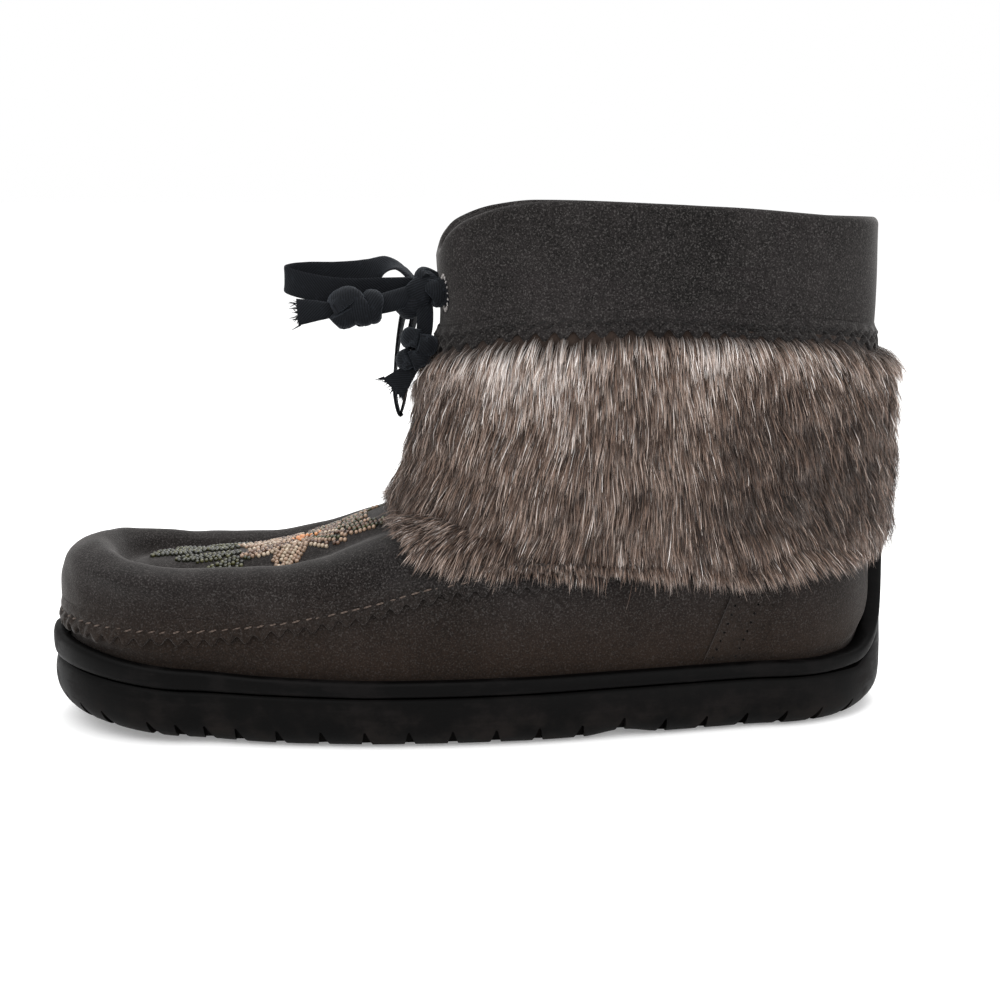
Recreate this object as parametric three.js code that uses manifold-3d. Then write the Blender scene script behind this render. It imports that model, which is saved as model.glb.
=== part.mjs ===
// A mukluk boot for the left foot: a suede moccasin foot with a raised, rolled seam round a sewn-in
// plug, a shaft with a deep fur cuff, a folded collar tied with a bow of cotton tape, and a moulded
// rubber shell sole with a rim bead that climbs the heel.
// Millimetres, +Z up. The toe points to -X, the heel to +X, and the foot's outer side is -Y.
import * as THREE from 'three';
import { mergeVertices } from 'three/addons/utils/BufferGeometryUtils.js';
import Module from 'manifold-3d';

const wasm = await Module();
wasm.setup();

// ---- Driving sizes ---------------------------------------------------------------------------
const LENGTH = 288;           // of the sole, from toe to heel
const MIDDLE = 2;             // X of the sole's middle
const TIP = 48;               // from the centre of the toe's fan of sections to the tip, also at the heel
const SPINE = LENGTH / 2 - TIP;   // the two fan centres are this far from the middle
const NOMINAL = 40;           // radius that turns a fan's angle into the way along the boot's side
const QUARTER = NOMINAL * Math.PI / 2;
const BACK = 2 * QUARTER + 2 * SPINE;   // the whole way, from the toe's tip to the back of the heel
const GAP = 0.3;              // between pieces that touch
const WALL = 2.6;             // suede and its lining
const FUR = 8.5;              // how far the fur stands out from the suede
const ROLL = 13;              // radius of the rolled ridge
const PLUG_INSIDE = 9;        // from the ridge's crest in to the plug's edge
const PLUG_END = -24;         // the plug's straight end, under the fur
const INSOLE = 4;             // thickness
const BURIED = 11;            // how far the upper goes down inside the rim
const SHAFT_FLOOR = 36;       // the shaft's form starts down inside the foot's
const TAPE = { width: 9, thickness: 1.2 };

/** Rows of numbers under named columns. The first is the key, and the others are read smoothly between rows. */
class Table {
  constructor(columns, rows) {
    this.keys = rows.map((row) => row[0]);
    this.values = Object.fromEntries(columns.map((name, i) => [name, rows.map((row) => row[i])]));
  }

  /** A monotone cubic through the column's values, level at both ends. */
  at(column, key) {
    const { keys } = this;
    const values = this.values[column];
    const last = keys.length - 1;
    if (key <= keys[0]) return values[0];
    if (key >= keys[last]) return values[last];
    let i = 0;
    while (keys[i + 1] < key) i += 1;
    const secant = (k) => (values[k + 1] - values[k]) / (keys[k + 1] - keys[k]);
    const slope = (k) => {
      if (k === 0 || k === last) return 0;
      const [before, after] = [secant(k - 1), secant(k)];
      return before * after <= 0 ? 0 : 2 * before * after / (before + after);
    };
    const span = keys[i + 1] - keys[i];
    const t = (key - keys[i]) / span;
    const a = slope(i) * span;
    const b = slope(i + 1) * span;
    const [p, q] = [values[i], values[i + 1]];
    return p + t * (a + t * (3 * (q - p) - 2 * a - b + t * (2 * (p - q) + a + b)));
  }
}

// Sections of the foot, each at a way along its side from the toe's tip (0) to the back of the heel.
// mid is the centre line's Y. outer and inner are the sole's reach from it on the two sides. footIn and
// seamIn are how far inside the sole's edge the foot's wall stands at the rim and at the pinked seam, whose
// height is seam. The ridge's crest is at crestR from the centre line and at height crest. plug and spine
// are the plug's heights at its edge and on the centre line.
const FOOT = new Table(
  ['way', 'mid', 'outer', 'inner', 'footIn', 'seamIn', 'seam', 'crestR', 'crest', 'plug', 'spine'],
  [
    [0, 2.5, 48, 48, 5.2, 3.4, 38.2, 32.5, 62, 52, 55],
    [21, 2.5, 46, 46, 5.2, 3.6, 38, 32.5, 60.6, 52, 55],
    [42, 2.5, 42.8, 43.2, 5.2, 4, 37.2, 31.5, 58.2, 52, 55],
    [63, 2.5, 41.5, 42, 5.2, 4.4, 37, 30, 56.4, 51.6, 54.6],
    [88.1, 2.5, 46, 46.2, 5.2, 4.8, 39.6, 29.4, 56.2, 53, 57],
    [105.8, 2.3, 48.6, 48.2, 5.2, 5, 42.6, 28.8, 59, 57, 61],
    [124.6, 2, 50.6, 49, 5.2, 5, 47, 28, 65, 64, 68],
    [143.4, 1.6, 51, 48.6, 5.2, 5, 52, 27, 69, 69, 75],
    [169.4, 1, 50, 46.5, 5.2, 5, 55, 26, 69, 70, 77],
    [206, 0.5, 45.2, 42.4, 5.2, 4, 54, 24, 69, 70, 77],
    [237.3, 0, 40.2, 39, 5.2, 2.6, 52, 22, 69, 70, 77],
    [255, 0, 38, 37.6, 5.4, 2.2, 50, 22, 69, 70, 77],
    [276, 0, 39.8, 39.6, 5.8, 3.4, 50, 22, 69, 70, 77],
    [297, 0, 44.4, 44.3, 6.8, 5.6, 50, 25, 69, 70, 77],
    [BACK, 0, 48, 48, 7.4, 6, 50, 28, 69, 70, 77],
  ],
);

// Heights along the sole, by X: the tread's underside with its toe spring and arch, and the footbed.
const SOLE = new Table(
  ['x', 'tread', 'bed'],
  [
    [-142, 7.5, 15],
    [-130, 5.6, 13.2],
    [-112, 3, 11.4],
    [-96, 1.4, 10.4],
    [-76, 0.4, 10],
    [-58, 0, 10],
    [34, 0, 11],
    [48, 1.6, 11.2],
    [62, 0, 11.4],
    [119, 0, 11.6],
    [146, 2.2, 12],
  ],
);

// The rim bead's middle line and width. Its step is the way along the boot's side until it starts to
// climb the heel beside the rubber tab, and it closes over the tab's top.
const LEVEL_RIM = 273;
const RIM = new Table(
  ['step', 'way', 'height', 'width'],
  [
    [0, 0, 28, 10],
    [21, 21, 26.7, 9],
    [42, 42, 23.9, 7.8],
    [63, 63, 21.6, 7.2],
    [88.1, 88.1, 20.4, 6.2],
    [124.6, 124.6, 19.6, 5.8],
    [237.3, 237.3, 20.2, 5.8],
    [LEVEL_RIM, 273, 20, 5.8],
    [291, 290, 21, 5.8],
    [299, 297, 23, 5.8],
    [308, 303.5, 27.6, 5.8],
    [317, 307.6, 34.5, 5.8],
    [326, 309.5, 43, 5.8],
    [334, 310, 50, 5.8],
    [339, 311.6, 54.4, 5.8],
    [343, 314.4, 56.6, 5.8],
    [347, BACK, 57.2, 5.8],
  ],
);
/** The height of the bead's lower (-1) or upper (1) edge where it runs level. */
function rimEdge(way, edge) {
  const step = Math.min(way, LEVEL_RIM);
  return RIM.at('height', step) + edge * RIM.at('width', step) / 2;
}

// The top of the rubber wall at the back of the heel, where it climbs as a tab inside the bead.
const TAB = new Table(
  ['way', 'top'],
  [
    [291, 0],
    [297, 2.4],
    [303, 6.5],
    [308, 13],
    [311, 24],
    [312.5, 34],
    [BACK, 35.6],
  ],
);

// Sections of the shaft by height: its front and back, and half its width.
const SHAFT = new Table(
  ['z', 'front', 'back', 'half'],
  [
    [SHAFT_FLOOR, -2, 129, 30],
    [60, -22, 139, 36.6],
    [75, -20, 139, 37.6],
    [93, -14, 138.8, 38],
    [114, -10.4, 138.6, 37.8],
    [135, -9.8, 138.8, 37.5],
    [155, -10.8, 139.2, 37.5],
    [175, -11, 139.2, 37],
  ],
);
const SHAFT_ROUND = 2.3;      // exponent of its oval
const SHAFT_LEVELS = [SHAFT_FLOOR, 58, 72, 88, 108, 130, 152];   // of its rings, under the collar's edge
const COLLAR_EDGE = new Table(
  ['x', 'z'],
  [
    [-11, 158],
    [-8, 163.5],
    [-3, 168],
    [10, 172.4],
    [26, 174],
    [79, 172.2],
    [139, 168.5],
  ],
);

// The fur seen from the side: a lower edge that dips from the instep to the heel, and a top edge that
// rises from front and back to the side's middle.
const FUR_OUTLINE = [
  ['x', 'z'],
  [-33, 61], [-27.5, 79], [-23, 94], [-19, 114], [-12, 125.5],
  [20, 130.5], [64, 133], [110, 130], [154, 125.5],
  [154, 54], [131, 51], [102, 48.5], [58, 47], [11, 49.5], [-10, 52], [-26, 58],
];

// The bow. Each row is a point on a tape's middle, and turn is how far its width turns from upright,
// in degrees, about the tape's own run.
const KNOT = { centre: new THREE.Vector3(-19.2, 0, 145), radii: new THREE.Vector3(5.8, 8, 7.4) };
const LACE_COLUMNS = ['x', 'y', 'z', 'turn'];
const LACES = {
  lace_loop_front: [
    LACE_COLUMNS,
    [-19, 3, 149, 0], [-27, 4, 153, 50], [-36, 4.6, 150.6, 10], [-48, 4.2, 149, 0], [-57, 2.6, 148, 0],
    [-60.4, -0.6, 147.6, 0], [-56, -3.6, 146.4, 0], [-44, -5, 144.4, 0], [-32, -4.6, 144, 0],
    [-20, -3, 144.5, 0],
  ],
  lace_loop_down: [
    LACE_COLUMNS,
    [-20.4, 4.4, 142, 90], [-25.2, 13, 133, 90], [-27.4, 15, 121, 90], [-27.6, 15.2, 108, 90],
    [-25.8, 15.6, 99.6, 90], [-23.4, 16.4, 103, 90], [-21.6, 17, 112, 90], [-18.4, 17, 124, 90],
    [-16.4, 14.6, 134, 90], [-18, 5, 142.6, 90],
  ],
  lace_end_front: [
    LACE_COLUMNS,
    [-21.5, -9.6, 141.4, 60], [-28, -12.4, 139.6, 62], [-37, -14.4, 138.6, 65], [-47, -14, 138, 70],
    [-57, -13, 135, 80],
  ],
  lace_end_down: [
    LACE_COLUMNS,
    [-17.4, -2, 138.6, 80], [-17.6, -4.6, 132, 80], [-20.4, -6.6, 125, 80], [-25, -7.4, 117, 80], [-30.4, -8, 110, 80],
  ],
};
const TAIL_KNOTS = {
  lace_end_front: { centre: new THREE.Vector3(-37.6, -14.4, 138.8), radii: new THREE.Vector3(8.6, 6, 6.6) },
  lace_end_down: { centre: new THREE.Vector3(-20.8, -6.8, 125), radii: new THREE.Vector3(5.6, 5.4, 6.4) },
};
const SLIT = { y: 11, z: 144, width: 3.4, height: TAPE.width + 1 };

// ---- From points to solids -------------------------------------------------------------------
/** A closed geometry as a solid: shared corners merged, faces without area left out. */
function solidOf(geometry) {
  const bare = new THREE.BufferGeometry();
  bare.setAttribute('position', geometry.getAttribute('position').clone());
  if (geometry.index) bare.setIndex(geometry.index.clone());
  const merged = mergeVertices(bare, 1e-4);
  const index = merged.index.array;
  const corners = [];
  for (let i = 0; i < index.length; i += 3) {
    const [a, b, c] = [index[i], index[i + 1], index[i + 2]];
    if (a !== b && b !== c && c !== a) corners.push(a, b, c);
  }
  const vertProperties = new Float32Array(merged.getAttribute('position').array);
  const triVerts = new Uint32Array(corners);
  return new wasm.Manifold(new wasm.Mesh({ numProp: 3, vertProperties, triVerts }));
}

/** Rings of points, all with the same count, as a closed skin. Open ends are filled to a middle point. */
function loft(rings, { capped = false } = {}) {
  const count = rings[0].length;
  const points = rings.flat();
  const index = [];
  for (let i = 0; i < rings.length - 1; i += 1) {
    for (let j = 0; j < count; j += 1) {
      const [a, b] = [i * count + j, i * count + (j + 1) % count];
      index.push(a, b, b + count, a, b + count, a + count);
    }
  }
  if (capped) {
    [rings[0], rings.at(-1)].forEach((ring, end) => {
      const middle = ring.reduce((sum, p) => sum.add(p), new THREE.Vector3()).divideScalar(count);
      const first = end * (rings.length - 1) * count;
      for (let j = 0; j < count; j += 1) {
        const [a, b] = [first + j, first + (j + 1) % count];
        index.push(...(end ? [a, b, points.length] : [b, a, points.length]));
      }
      points.push(middle);
    });
  }
  const geometry = new THREE.BufferGeometry().setFromPoints(points).setIndex(index);
  return solidOf(facingOut(geometry));
}

/** Turns every face over if the skin's volume comes out negative. */
function facingOut(geometry) {
  const p = geometry.getAttribute('position');
  const index = geometry.index.array;
  const [a, b, c] = [new THREE.Vector3(), new THREE.Vector3(), new THREE.Vector3()];
  let volume = 0;
  for (let i = 0; i < index.length; i += 3) {
    a.fromBufferAttribute(p, index[i]);
    b.fromBufferAttribute(p, index[i + 1]);
    c.fromBufferAttribute(p, index[i + 2]);
    volume += a.dot(b.cross(c));
  }
  if (volume < 0) {
    for (let i = 0; i < index.length; i += 3) [index[i], index[i + 1]] = [index[i + 1], index[i]];
  }
  return geometry;
}

// ---- The foot's own function -----------------------------------------------------------------
/** Where a section stands: its point on the centre line, its way outward and its reach to the sole's edge. */
function section(way, side) {
  const read = (column) => FOOT.at(column, way);
  const along = THREE.MathUtils.clamp(way - QUARTER, 0, 2 * SPINE);
  const spine = new THREE.Vector2(along - SPINE + MIDDLE, read('mid'));
  const toe = Math.min(way / NOMINAL, Math.PI / 2);
  const heel = Math.max((way - QUARTER - 2 * SPINE) / NOMINAL, 0);
  const out = new THREE.Vector2(Math.sin(heel) - Math.cos(toe), side * Math.sin(toe) * Math.cos(heel));
  return { way, side, read, spine, out, reach: read(side < 0 ? 'outer' : 'inner') };
}

/** The point of a section at r from the centre line; z is a height or a function of X. */
function pointOn(at, r, z) {
  const x = at.spine.x + at.out.x * r;
  const y = at.spine.y + at.out.y * r;
  return new THREE.Vector3(x, y, typeof z === 'function' ? z(x) : z);
}

/** Sections all round the boot: down the outer side from the heel to the toe, and back up the inner side. */
function sectionsRound(ways) {
  const inward = ways.slice(1, -1).reverse();
  return [...ways.map((way) => section(way, -1)), ...inward.map((way) => section(way, 1))];
}

const between = (start, end, steps) => (
  Array.from({ length: steps + 1 }, (_, i) => start + (end - start) * i / steps));

const PROFILE_STEPS = 13;
const FOOT_WAYS = [...between(BACK, BACK - QUARTER, 6), ...between(BACK - QUARTER, QUARTER, 10).slice(1, -1),
  ...between(QUARTER, 0, 8)];

/** The suede's outline in one section, from the rim up over the ridge and the plug to the centre line. */
function footProfile(at) {
  const { read, reach } = at;
  const [foot, seam, crest, plug] = [reach - read('footIn'), reach - read('seamIn'), read('crestR'), read('plug')];
  const [seamZ, crestZ, spineZ, rimZ] = [read('seam'), read('crest'), read('spine'), rimEdge(at.way, 1)];
  const shoulder = Math.min(crest + ROLL, seam);
  const knots = [
    [foot, rimZ - BURIED],
    [foot, rimZ],
    [(foot + seam) / 2 + 1.2, (rimZ + seamZ) / 2],
    [seam, seamZ],
    [shoulder, Math.max(crestZ - 0.85 * ROLL, seamZ + 3)],
    [crest + 0.68 * ROLL, crestZ - 0.28 * ROLL],
    [crest, crestZ],
    [crest - 0.55 * PLUG_INSIDE, crestZ - 0.35 * (crestZ - plug)],
    [crest - PLUG_INSIDE, plug],
    [0.36 * crest, plug + 0.8 * (spineZ - plug)],
    [0, spineZ],
  ];
  const spots = knots.map(([r, z]) => new THREE.Vector3(r, z, 0));
  const curve = new THREE.CatmullRomCurve3(spots, false, 'centripetal');
  return between(0, 1, PROFILE_STEPS).map((t) => {
    const [p, tangent] = [curve.getPoint(t), curve.getTangent(t)];
    const normal = t === 1 ? [0, 1] : [tangent.y, -tangent.x];
    return { r: t === 1 ? 0 : p.x, z: p.y, normal };
  });
}

/** The whole foot as a solid, grown by this much, its flat underside following floor(x). */
function footForm(grow, floor) {
  const around = sectionsRound(FOOT_WAYS);
  const columns = around.map((at) => {
    const skin = footProfile(at).map(({ r, z, normal }) => (
      pointOn(at, Math.max(r + grow * normal[0], 0), z + grow * normal[1])));
    const edge = at.reach - at.read('footIn') + grow;
    return [pointOn(at, 0, floor), pointOn(at, edge, floor), ...skin];
  });
  return loft(columns[0].map((_, i) => columns.map((column) => column[i])));
}

/** The shaft as a solid, grown by this much; raise lifts its top past the collar's edge. */
function shaftForm(grow, raise = 0) {
  const around = between(0, 2 * Math.PI, 28).slice(0, -1);
  const signedPower = (value) => Math.sign(value) * Math.abs(value) ** (2 / SHAFT_ROUND);
  const rings = [...SHAFT_LEVELS, null].map((level) => around.map((angle) => {
    const [c, s] = [signedPower(Math.cos(angle)), signedPower(Math.sin(angle))];
    const place = (z) => {
      const [front, back] = [SHAFT.at('front', z) - grow, SHAFT.at('back', z) + grow];
      return [(front + back) / 2 + c * (back - front) / 2, s * (SHAFT.at('half', z) + grow)];
    };
    const top = COLLAR_EDGE.at('z', place(165)[0]) + raise;
    const z = level ?? top;
    return new THREE.Vector3(...place(z), z);
  }));
  return loft(rings, { capped: true });
}

const bedAt = (x) => SOLE.at('bed', x);
const aboveBed = (x) => bedAt(x) + GAP;
const belowBed = (x) => bedAt(x) - 12;

/** The U of the plug seen from above, grown by this much, as an upright prism. */
function plugPrism(grow) {
  const radius = FOOT.at('crestR', QUARTER) - PLUG_INSIDE + grow;
  const mid = FOOT.at('mid', 0);
  const outline = new THREE.Shape();
  outline.moveTo(PLUG_END + grow, mid - radius);
  outline.lineTo(PLUG_END + grow, mid + radius);
  outline.absarc(MIDDLE - SPINE, mid, radius, Math.PI / 2, 3 * Math.PI / 2, false);
  const prism = new THREE.ExtrudeGeometry(outline, { depth: 60, bevelEnabled: false, curveSegments: 14 });
  return solidOf(prism.translate(0, 0, 40));
}

/** A box through the collar where the tape comes out, on one side of the front. */
function slit(side) {
  const box = new THREE.BoxGeometry(16, SLIT.width, SLIT.height);
  return solidOf(box.rotateZ(-side * 0.5).translate(-9, side * SLIT.y, SLIT.z));
}

// ---- Upper, plug, insole and fur -------------------------------------------------------------
const outerForm = footForm(0, aboveBed).add(shaftForm(0));
const footHollow = footForm(-WALL, belowBed);
const clearForm = footForm(GAP, bedAt).add(shaftForm(GAP, 20));

function makeUpper() {
  const hollow = footHollow.add(shaftForm(-WALL, 20));
  return outerForm.subtract(hollow).subtract(plugPrism(GAP / 2)).subtract(slit(-1)).subtract(slit(1));
}

function makePlug() {
  return footForm(0, aboveBed).subtract(footHollow).intersect(plugPrism(-GAP / 2));
}

function makeInsole() {
  const around = sectionsRound(FOOT_WAYS);
  const base = (x) => aboveBed(x) + GAP;
  const top = (x) => base(x) + INSOLE;
  const columns = around.map((at) => {
    const edge = at.reach - at.read('footIn') - WALL - 2 * GAP;
    return [pointOn(at, 0, base), pointOn(at, edge, base), pointOn(at, edge, top), pointOn(at, 0, top)];
  });
  return loft(columns[0].map((_, i) => columns.map((column) => column[i])));
}

function makeFurCuff() {
  const outline = new THREE.Shape(FUR_OUTLINE.slice(1).map(([x, z]) => new THREE.Vector2(x, z)));
  const band = new THREE.ExtrudeGeometry(outline, { depth: LENGTH, bevelEnabled: false });
  band.rotateX(Math.PI / 2).translate(0, LENGTH / 2, 0);
  const grown = footForm(FUR, bedAt).add(shaftForm(FUR, 20));
  return grown.intersect(solidOf(band)).subtract(clearForm).subtract(soleForm(GAP)).subtract(beadForm(GAP));
}

// ---- Sole ------------------------------------------------------------------------------------
const SOLE_WAYS = [...between(BACK, 306, 6), ...between(302, BACK - QUARTER, 5),
  ...between(BACK - QUARTER, QUARTER, 10).slice(1, -1), ...between(QUARTER, 0, 8)];

/** Tread, wall and heel tab in one, filled up to the groove. */
function soleForm(grow) {
  const columns = sectionsRound(SOLE_WAYS).map((at) => {
    const { reach } = at;
    const groove = rimEdge(at.way, -1) - GAP + grow;
    const top = groove + TAB.at('top', at.way);
    const lean = 0.04 * TAB.at('top', at.way);
    const tread = (rise) => (x) => SOLE.at('tread', x) + rise - grow;
    const inside = reach - at.read('footIn') - 1.5;
    return [
      pointOn(at, 0, tread(0)), pointOn(at, reach - 9, tread(0)), pointOn(at, reach - 3.6 + grow, tread(1)),
      pointOn(at, reach - 1 + grow, tread(4.2)), pointOn(at, reach + grow, (x) => Math.min(tread(9)(x), top - 3)),
      pointOn(at, reach - 0.7 - lean + grow, top), pointOn(at, inside, top), pointOn(at, 0, groove),
    ];
  });
  return loft(columns[0].map((_, i) => columns.map((column) => column[i])));
}

/** The rim bead, a rounded strip swept round the boot and over the heel tab, grown by this much. */
function beadForm(grow) {
  const steps = [...between(RIM.keys.at(-1), 291, 12), ...between(281, QUARTER, 11),
    ...between(QUARTER, 0, 8).slice(1)];
  const halfLoop = (side) => steps.map((step) => {
    const at = section(RIM.at('way', step), side);
    const depth = at.read('footIn') - GAP;
    const half = RIM.at('width', step) / 2 - GAP;
    const lean = step > LEVEL_RIM ? 0.025 * (RIM.at('height', step) - RIM.at('height', LEVEL_RIM)) : 0;
    return { at, depth, half, middle: pointOn(at, at.reach + 0.3 - lean - depth / 2, RIM.at('height', step)) };
  });
  const path = [...halfLoop(-1), ...halfLoop(1).slice(1, -1).reverse()];
  const rings = path.map(({ at, depth, half, middle }, i) => {
    const before = path[(i + path.length - 1) % path.length].middle;
    const after = path[(i + 1) % path.length].middle;
    const run = after.clone().sub(before).normalize();
    const outward = new THREE.Vector3(at.out.x, at.out.y, 0);
    const across = new THREE.Vector3().crossVectors(run, outward).normalize();
    return between(0, 2 * Math.PI, 8).slice(0, -1).map((angle) => {
      const round = (value) => Math.sign(value) * Math.abs(value) ** 0.6;
      const [a, b] = [round(Math.cos(angle + Math.PI / 8)), round(Math.sin(angle + Math.PI / 8))];
      return middle.clone()
        .addScaledVector(outward, a * (depth / 2 + grow))
        .addScaledVector(across, b * (half + grow));
    });
  });
  return loft([...rings, rings[0]]);
}

// Where the tread's edge is notched: closer together round the toe.
const NOTCH_WAYS = [18, 27, 36, 52, 61, 70, 80, ...between(93, 301, 15)];

/** A wedge cut up into the sole's edge: narrow at its top, which leans away from the boot's middle. */
function treadNotch(way, side) {
  const at = section(way, side);
  const foot = pointOn(at, at.reach - 7, (x) => SOLE.at('tread', x));
  const lean = 2.4 * THREE.MathUtils.clamp(foot.x / 100, -1, 1);
  const forward = Math.sign(-at.out.y);
  const outline = new THREE.Shape([
    new THREE.Vector2(-2.7, -3), new THREE.Vector2(2.7, -3),
    new THREE.Vector2(lean * forward + 0.3, 5.4), new THREE.Vector2(lean * forward - 0.3, 5.4),
  ]);
  const wedge = new THREE.ExtrudeGeometry(outline, { depth: 12, bevelEnabled: false });
  const axes = new THREE.Matrix4().makeBasis(
    new THREE.Vector3(-at.out.y, at.out.x, 0),
    new THREE.Vector3(0, 0, 1),
    new THREE.Vector3(at.out.x, at.out.y, 0),
  ).setPosition(foot);
  return solidOf(wedge.applyMatrix4(axes));
}

function makeOutsole() {
  let sole = soleForm(0).subtract(clearForm).subtract(beadForm(GAP));
  for (const way of NOTCH_WAYS) {
    for (const side of [-1, 1]) sole = sole.subtract(treadNotch(way, side));
  }
  return sole;
}

function makeWelt() {
  return beadForm(0).subtract(clearForm);
}

// ---- Lace ------------------------------------------------------------------------------------
/** A flat tape along a table's points. */
function tape(rows, steps) {
  const [, ...points] = rows;
  const spots = points.map(([x, y, z]) => new THREE.Vector3(x, y, z));
  const curve = new THREE.CatmullRomCurve3(spots, false, 'centripetal');
  const up = new THREE.Vector3(0, 0, 1);
  const rings = between(0, 1, steps).map((t) => {
    const run = curve.getTangent(t);
    const row = t * (points.length - 1);
    const low = Math.min(Math.floor(row), points.length - 2);
    const turn = THREE.MathUtils.degToRad(THREE.MathUtils.lerp(points[low][3], points[low + 1][3], row - low));
    const steep = Math.abs(run.z) > 0.8;
    const reference = steep ? new THREE.Vector3(0, 1, 0) : up.clone();
    const width = reference.addScaledVector(run, -run.dot(reference)).normalize();
    if (!steep) width.applyAxisAngle(run, turn);
    const face = new THREE.Vector3().crossVectors(run, width);
    const corner = (w, h) => curve.getPoint(t)
      .addScaledVector(width, w * TAPE.width / 2).addScaledVector(face, h * TAPE.thickness / 2);
    return [corner(-1, -1), corner(1, -1), corner(1, 1), corner(-1, 1)];
  });
  return loft(rings, { capped: true });
}

/** A tied knot's outer form, grown by this much. */
function knotForm({ centre, radii }, grow = 0) {
  const ball = new THREE.SphereGeometry(1, 12, 7);
  return solidOf(ball.scale(radii.x + grow, radii.y + grow, radii.z + grow).translate(...centre));
}

/** The tape across the collar's front, from slit to slit behind the knot. */
function makeLaceBar() {
  const out = GAP + TAPE.thickness / 2 + 0.2;
  const centre = (SHAFT.at('front', SLIT.z) + SHAFT.at('back', SLIT.z)) / 2;
  const reach = centre - SHAFT.at('front', SLIT.z) + out;
  const half = SHAFT.at('half', SLIT.z) + out;
  const rings = between(-SLIT.y, SLIT.y, 8).map((y) => {
    const along = (distance) => {
      const x = centre - distance * (1 - Math.abs(y / half) ** SHAFT_ROUND) ** (1 / SHAFT_ROUND);
      return [-1, 1].map((w) => new THREE.Vector3(x, y, SLIT.z + w * TAPE.width / 2));
    };
    const [low, high] = along(reach - TAPE.thickness / 2);
    const [outLow, outHigh] = along(reach + TAPE.thickness / 2);
    return [low, high, outHigh, outLow];
  });
  return loft(rings, { capped: true });
}

const knotCutter = knotForm(KNOT, GAP);
const barCutter = makeLaceBar();

function makeLaces() {
  const pieces = { lace_knot: knotForm(KNOT).subtract(outerForm) };
  for (const [name, rows] of Object.entries(LACES)) {
    let piece = tape(rows, 3 * (rows.length - 2)).subtract(knotCutter);
    if (TAIL_KNOTS[name]) piece = piece.add(knotForm(TAIL_KNOTS[name]));
    pieces[name] = piece;
  }
  return pieces;
}

// ---- The boot --------------------------------------------------------------------------------
const MATERIALS = {
  suede: new THREE.MeshStandardMaterial({ color: 0x3a302b, roughness: 0.95, metalness: 0 }),
  rubber: new THREE.MeshStandardMaterial({ color: 0x17181b, roughness: 0.6, metalness: 0 }),
  fur: new THREE.MeshStandardMaterial({ color: 0x7a655b, roughness: 1, metalness: 0 }),
  cotton: new THREE.MeshStandardMaterial({ color: 0x0b0d14, roughness: 0.9, metalness: 0 }),
  lining: new THREE.MeshStandardMaterial({ color: 0x6b5f55, roughness: 1, metalness: 0 }),
};

/** The solid's corners and faces as a mesh, moved so that the boot's middle is the origin. */
function meshOf(name, solid, material, middle) {
  const { vertProperties, triVerts } = solid.getMesh();
  const geometry = new THREE.BufferGeometry();
  geometry.setAttribute('position', new THREE.BufferAttribute(Float32Array.from(vertProperties), 3));
  geometry.setIndex(new THREE.BufferAttribute(Uint32Array.from(triVerts), 1));
  geometry.computeVertexNormals();
  const mesh = new THREE.Mesh(geometry, MATERIALS[material]);
  mesh.name = name;
  mesh.position.copy(middle).negate();
  return mesh;
}

function makeBoot() {
  const laces = makeLaces();
  const pieces = [
    ['outsole', makeOutsole(), 'rubber'],
    ['welt', makeWelt(), 'rubber'],
    ['insole', makeInsole(), 'lining'],
    ['upper', makeUpper(), 'suede'],
    ['vamp_plug', makePlug(), 'suede'],
    ['fur_cuff', makeFurCuff(), 'fur'],
    ['lace_bar', barCutter, 'cotton'],
    ...Object.entries(laces).map(([name, solid]) => [name, solid, 'cotton']),
  ];
  const box = new THREE.Box3();
  for (const [name, solid] of pieces) {
    const { min, max } = solid.boundingBox();
    if (!name.startsWith('lace_') || name === 'lace_bar') {
      box.expandByPoint(new THREE.Vector3(...min)).expandByPoint(new THREE.Vector3(...max));
    }
  }
  const middle = box.getCenter(new THREE.Vector3()).setZ(box.min.z);
  const boot = new THREE.Group();
  for (const [name, solid, material] of pieces) boot.add(meshOf(name, solid, material, middle));
  return boot;
}

export default makeBoot();
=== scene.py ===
# %% [markdown]
# # A fur-cuffed mukluk boot for the left foot
# A mukluk is a moccasin with a shaft. A suede foot is gathered under a rolled ridge round a sewn-in plug,
# a cuff of rabbit fur hides where foot and shaft meet, a folded collar carries a cotton tape tied in a bow,
# and a moulded rubber shell holds it all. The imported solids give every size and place, and this script
# dresses them: each visible piece is rebuilt finely from the same sections, then given its own finish.

# %% Load the frame
from types import SimpleNamespace

import bpy
import numpy as np
from mathutils import Matrix, Vector
from mathutils.bvhtree import BVHTree


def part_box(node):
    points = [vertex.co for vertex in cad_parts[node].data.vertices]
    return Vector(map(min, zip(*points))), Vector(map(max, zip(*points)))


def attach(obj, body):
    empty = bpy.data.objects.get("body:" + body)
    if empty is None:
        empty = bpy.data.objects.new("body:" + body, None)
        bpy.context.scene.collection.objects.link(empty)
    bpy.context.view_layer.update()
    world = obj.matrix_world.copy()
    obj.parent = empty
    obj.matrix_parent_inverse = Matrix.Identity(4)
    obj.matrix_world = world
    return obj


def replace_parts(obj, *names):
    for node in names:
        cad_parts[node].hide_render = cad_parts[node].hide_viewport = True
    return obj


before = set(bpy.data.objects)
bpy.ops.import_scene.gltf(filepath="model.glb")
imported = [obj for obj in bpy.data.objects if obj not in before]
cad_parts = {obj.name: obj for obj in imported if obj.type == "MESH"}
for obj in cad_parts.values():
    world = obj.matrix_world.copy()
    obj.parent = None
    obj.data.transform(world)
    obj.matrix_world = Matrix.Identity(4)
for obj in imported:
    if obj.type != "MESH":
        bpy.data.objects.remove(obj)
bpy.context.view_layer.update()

# %% [markdown]
# ## The boot's own measures
# A bootmaker works from sections of the last. Each table holds a few rows, one for each section, and a
# smooth curve runs through every column. Lengths are in millimetres and the sole's middle is at X = 0, as
# on a maker's draft, so one shift and one scale carry a point into the frame.

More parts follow.
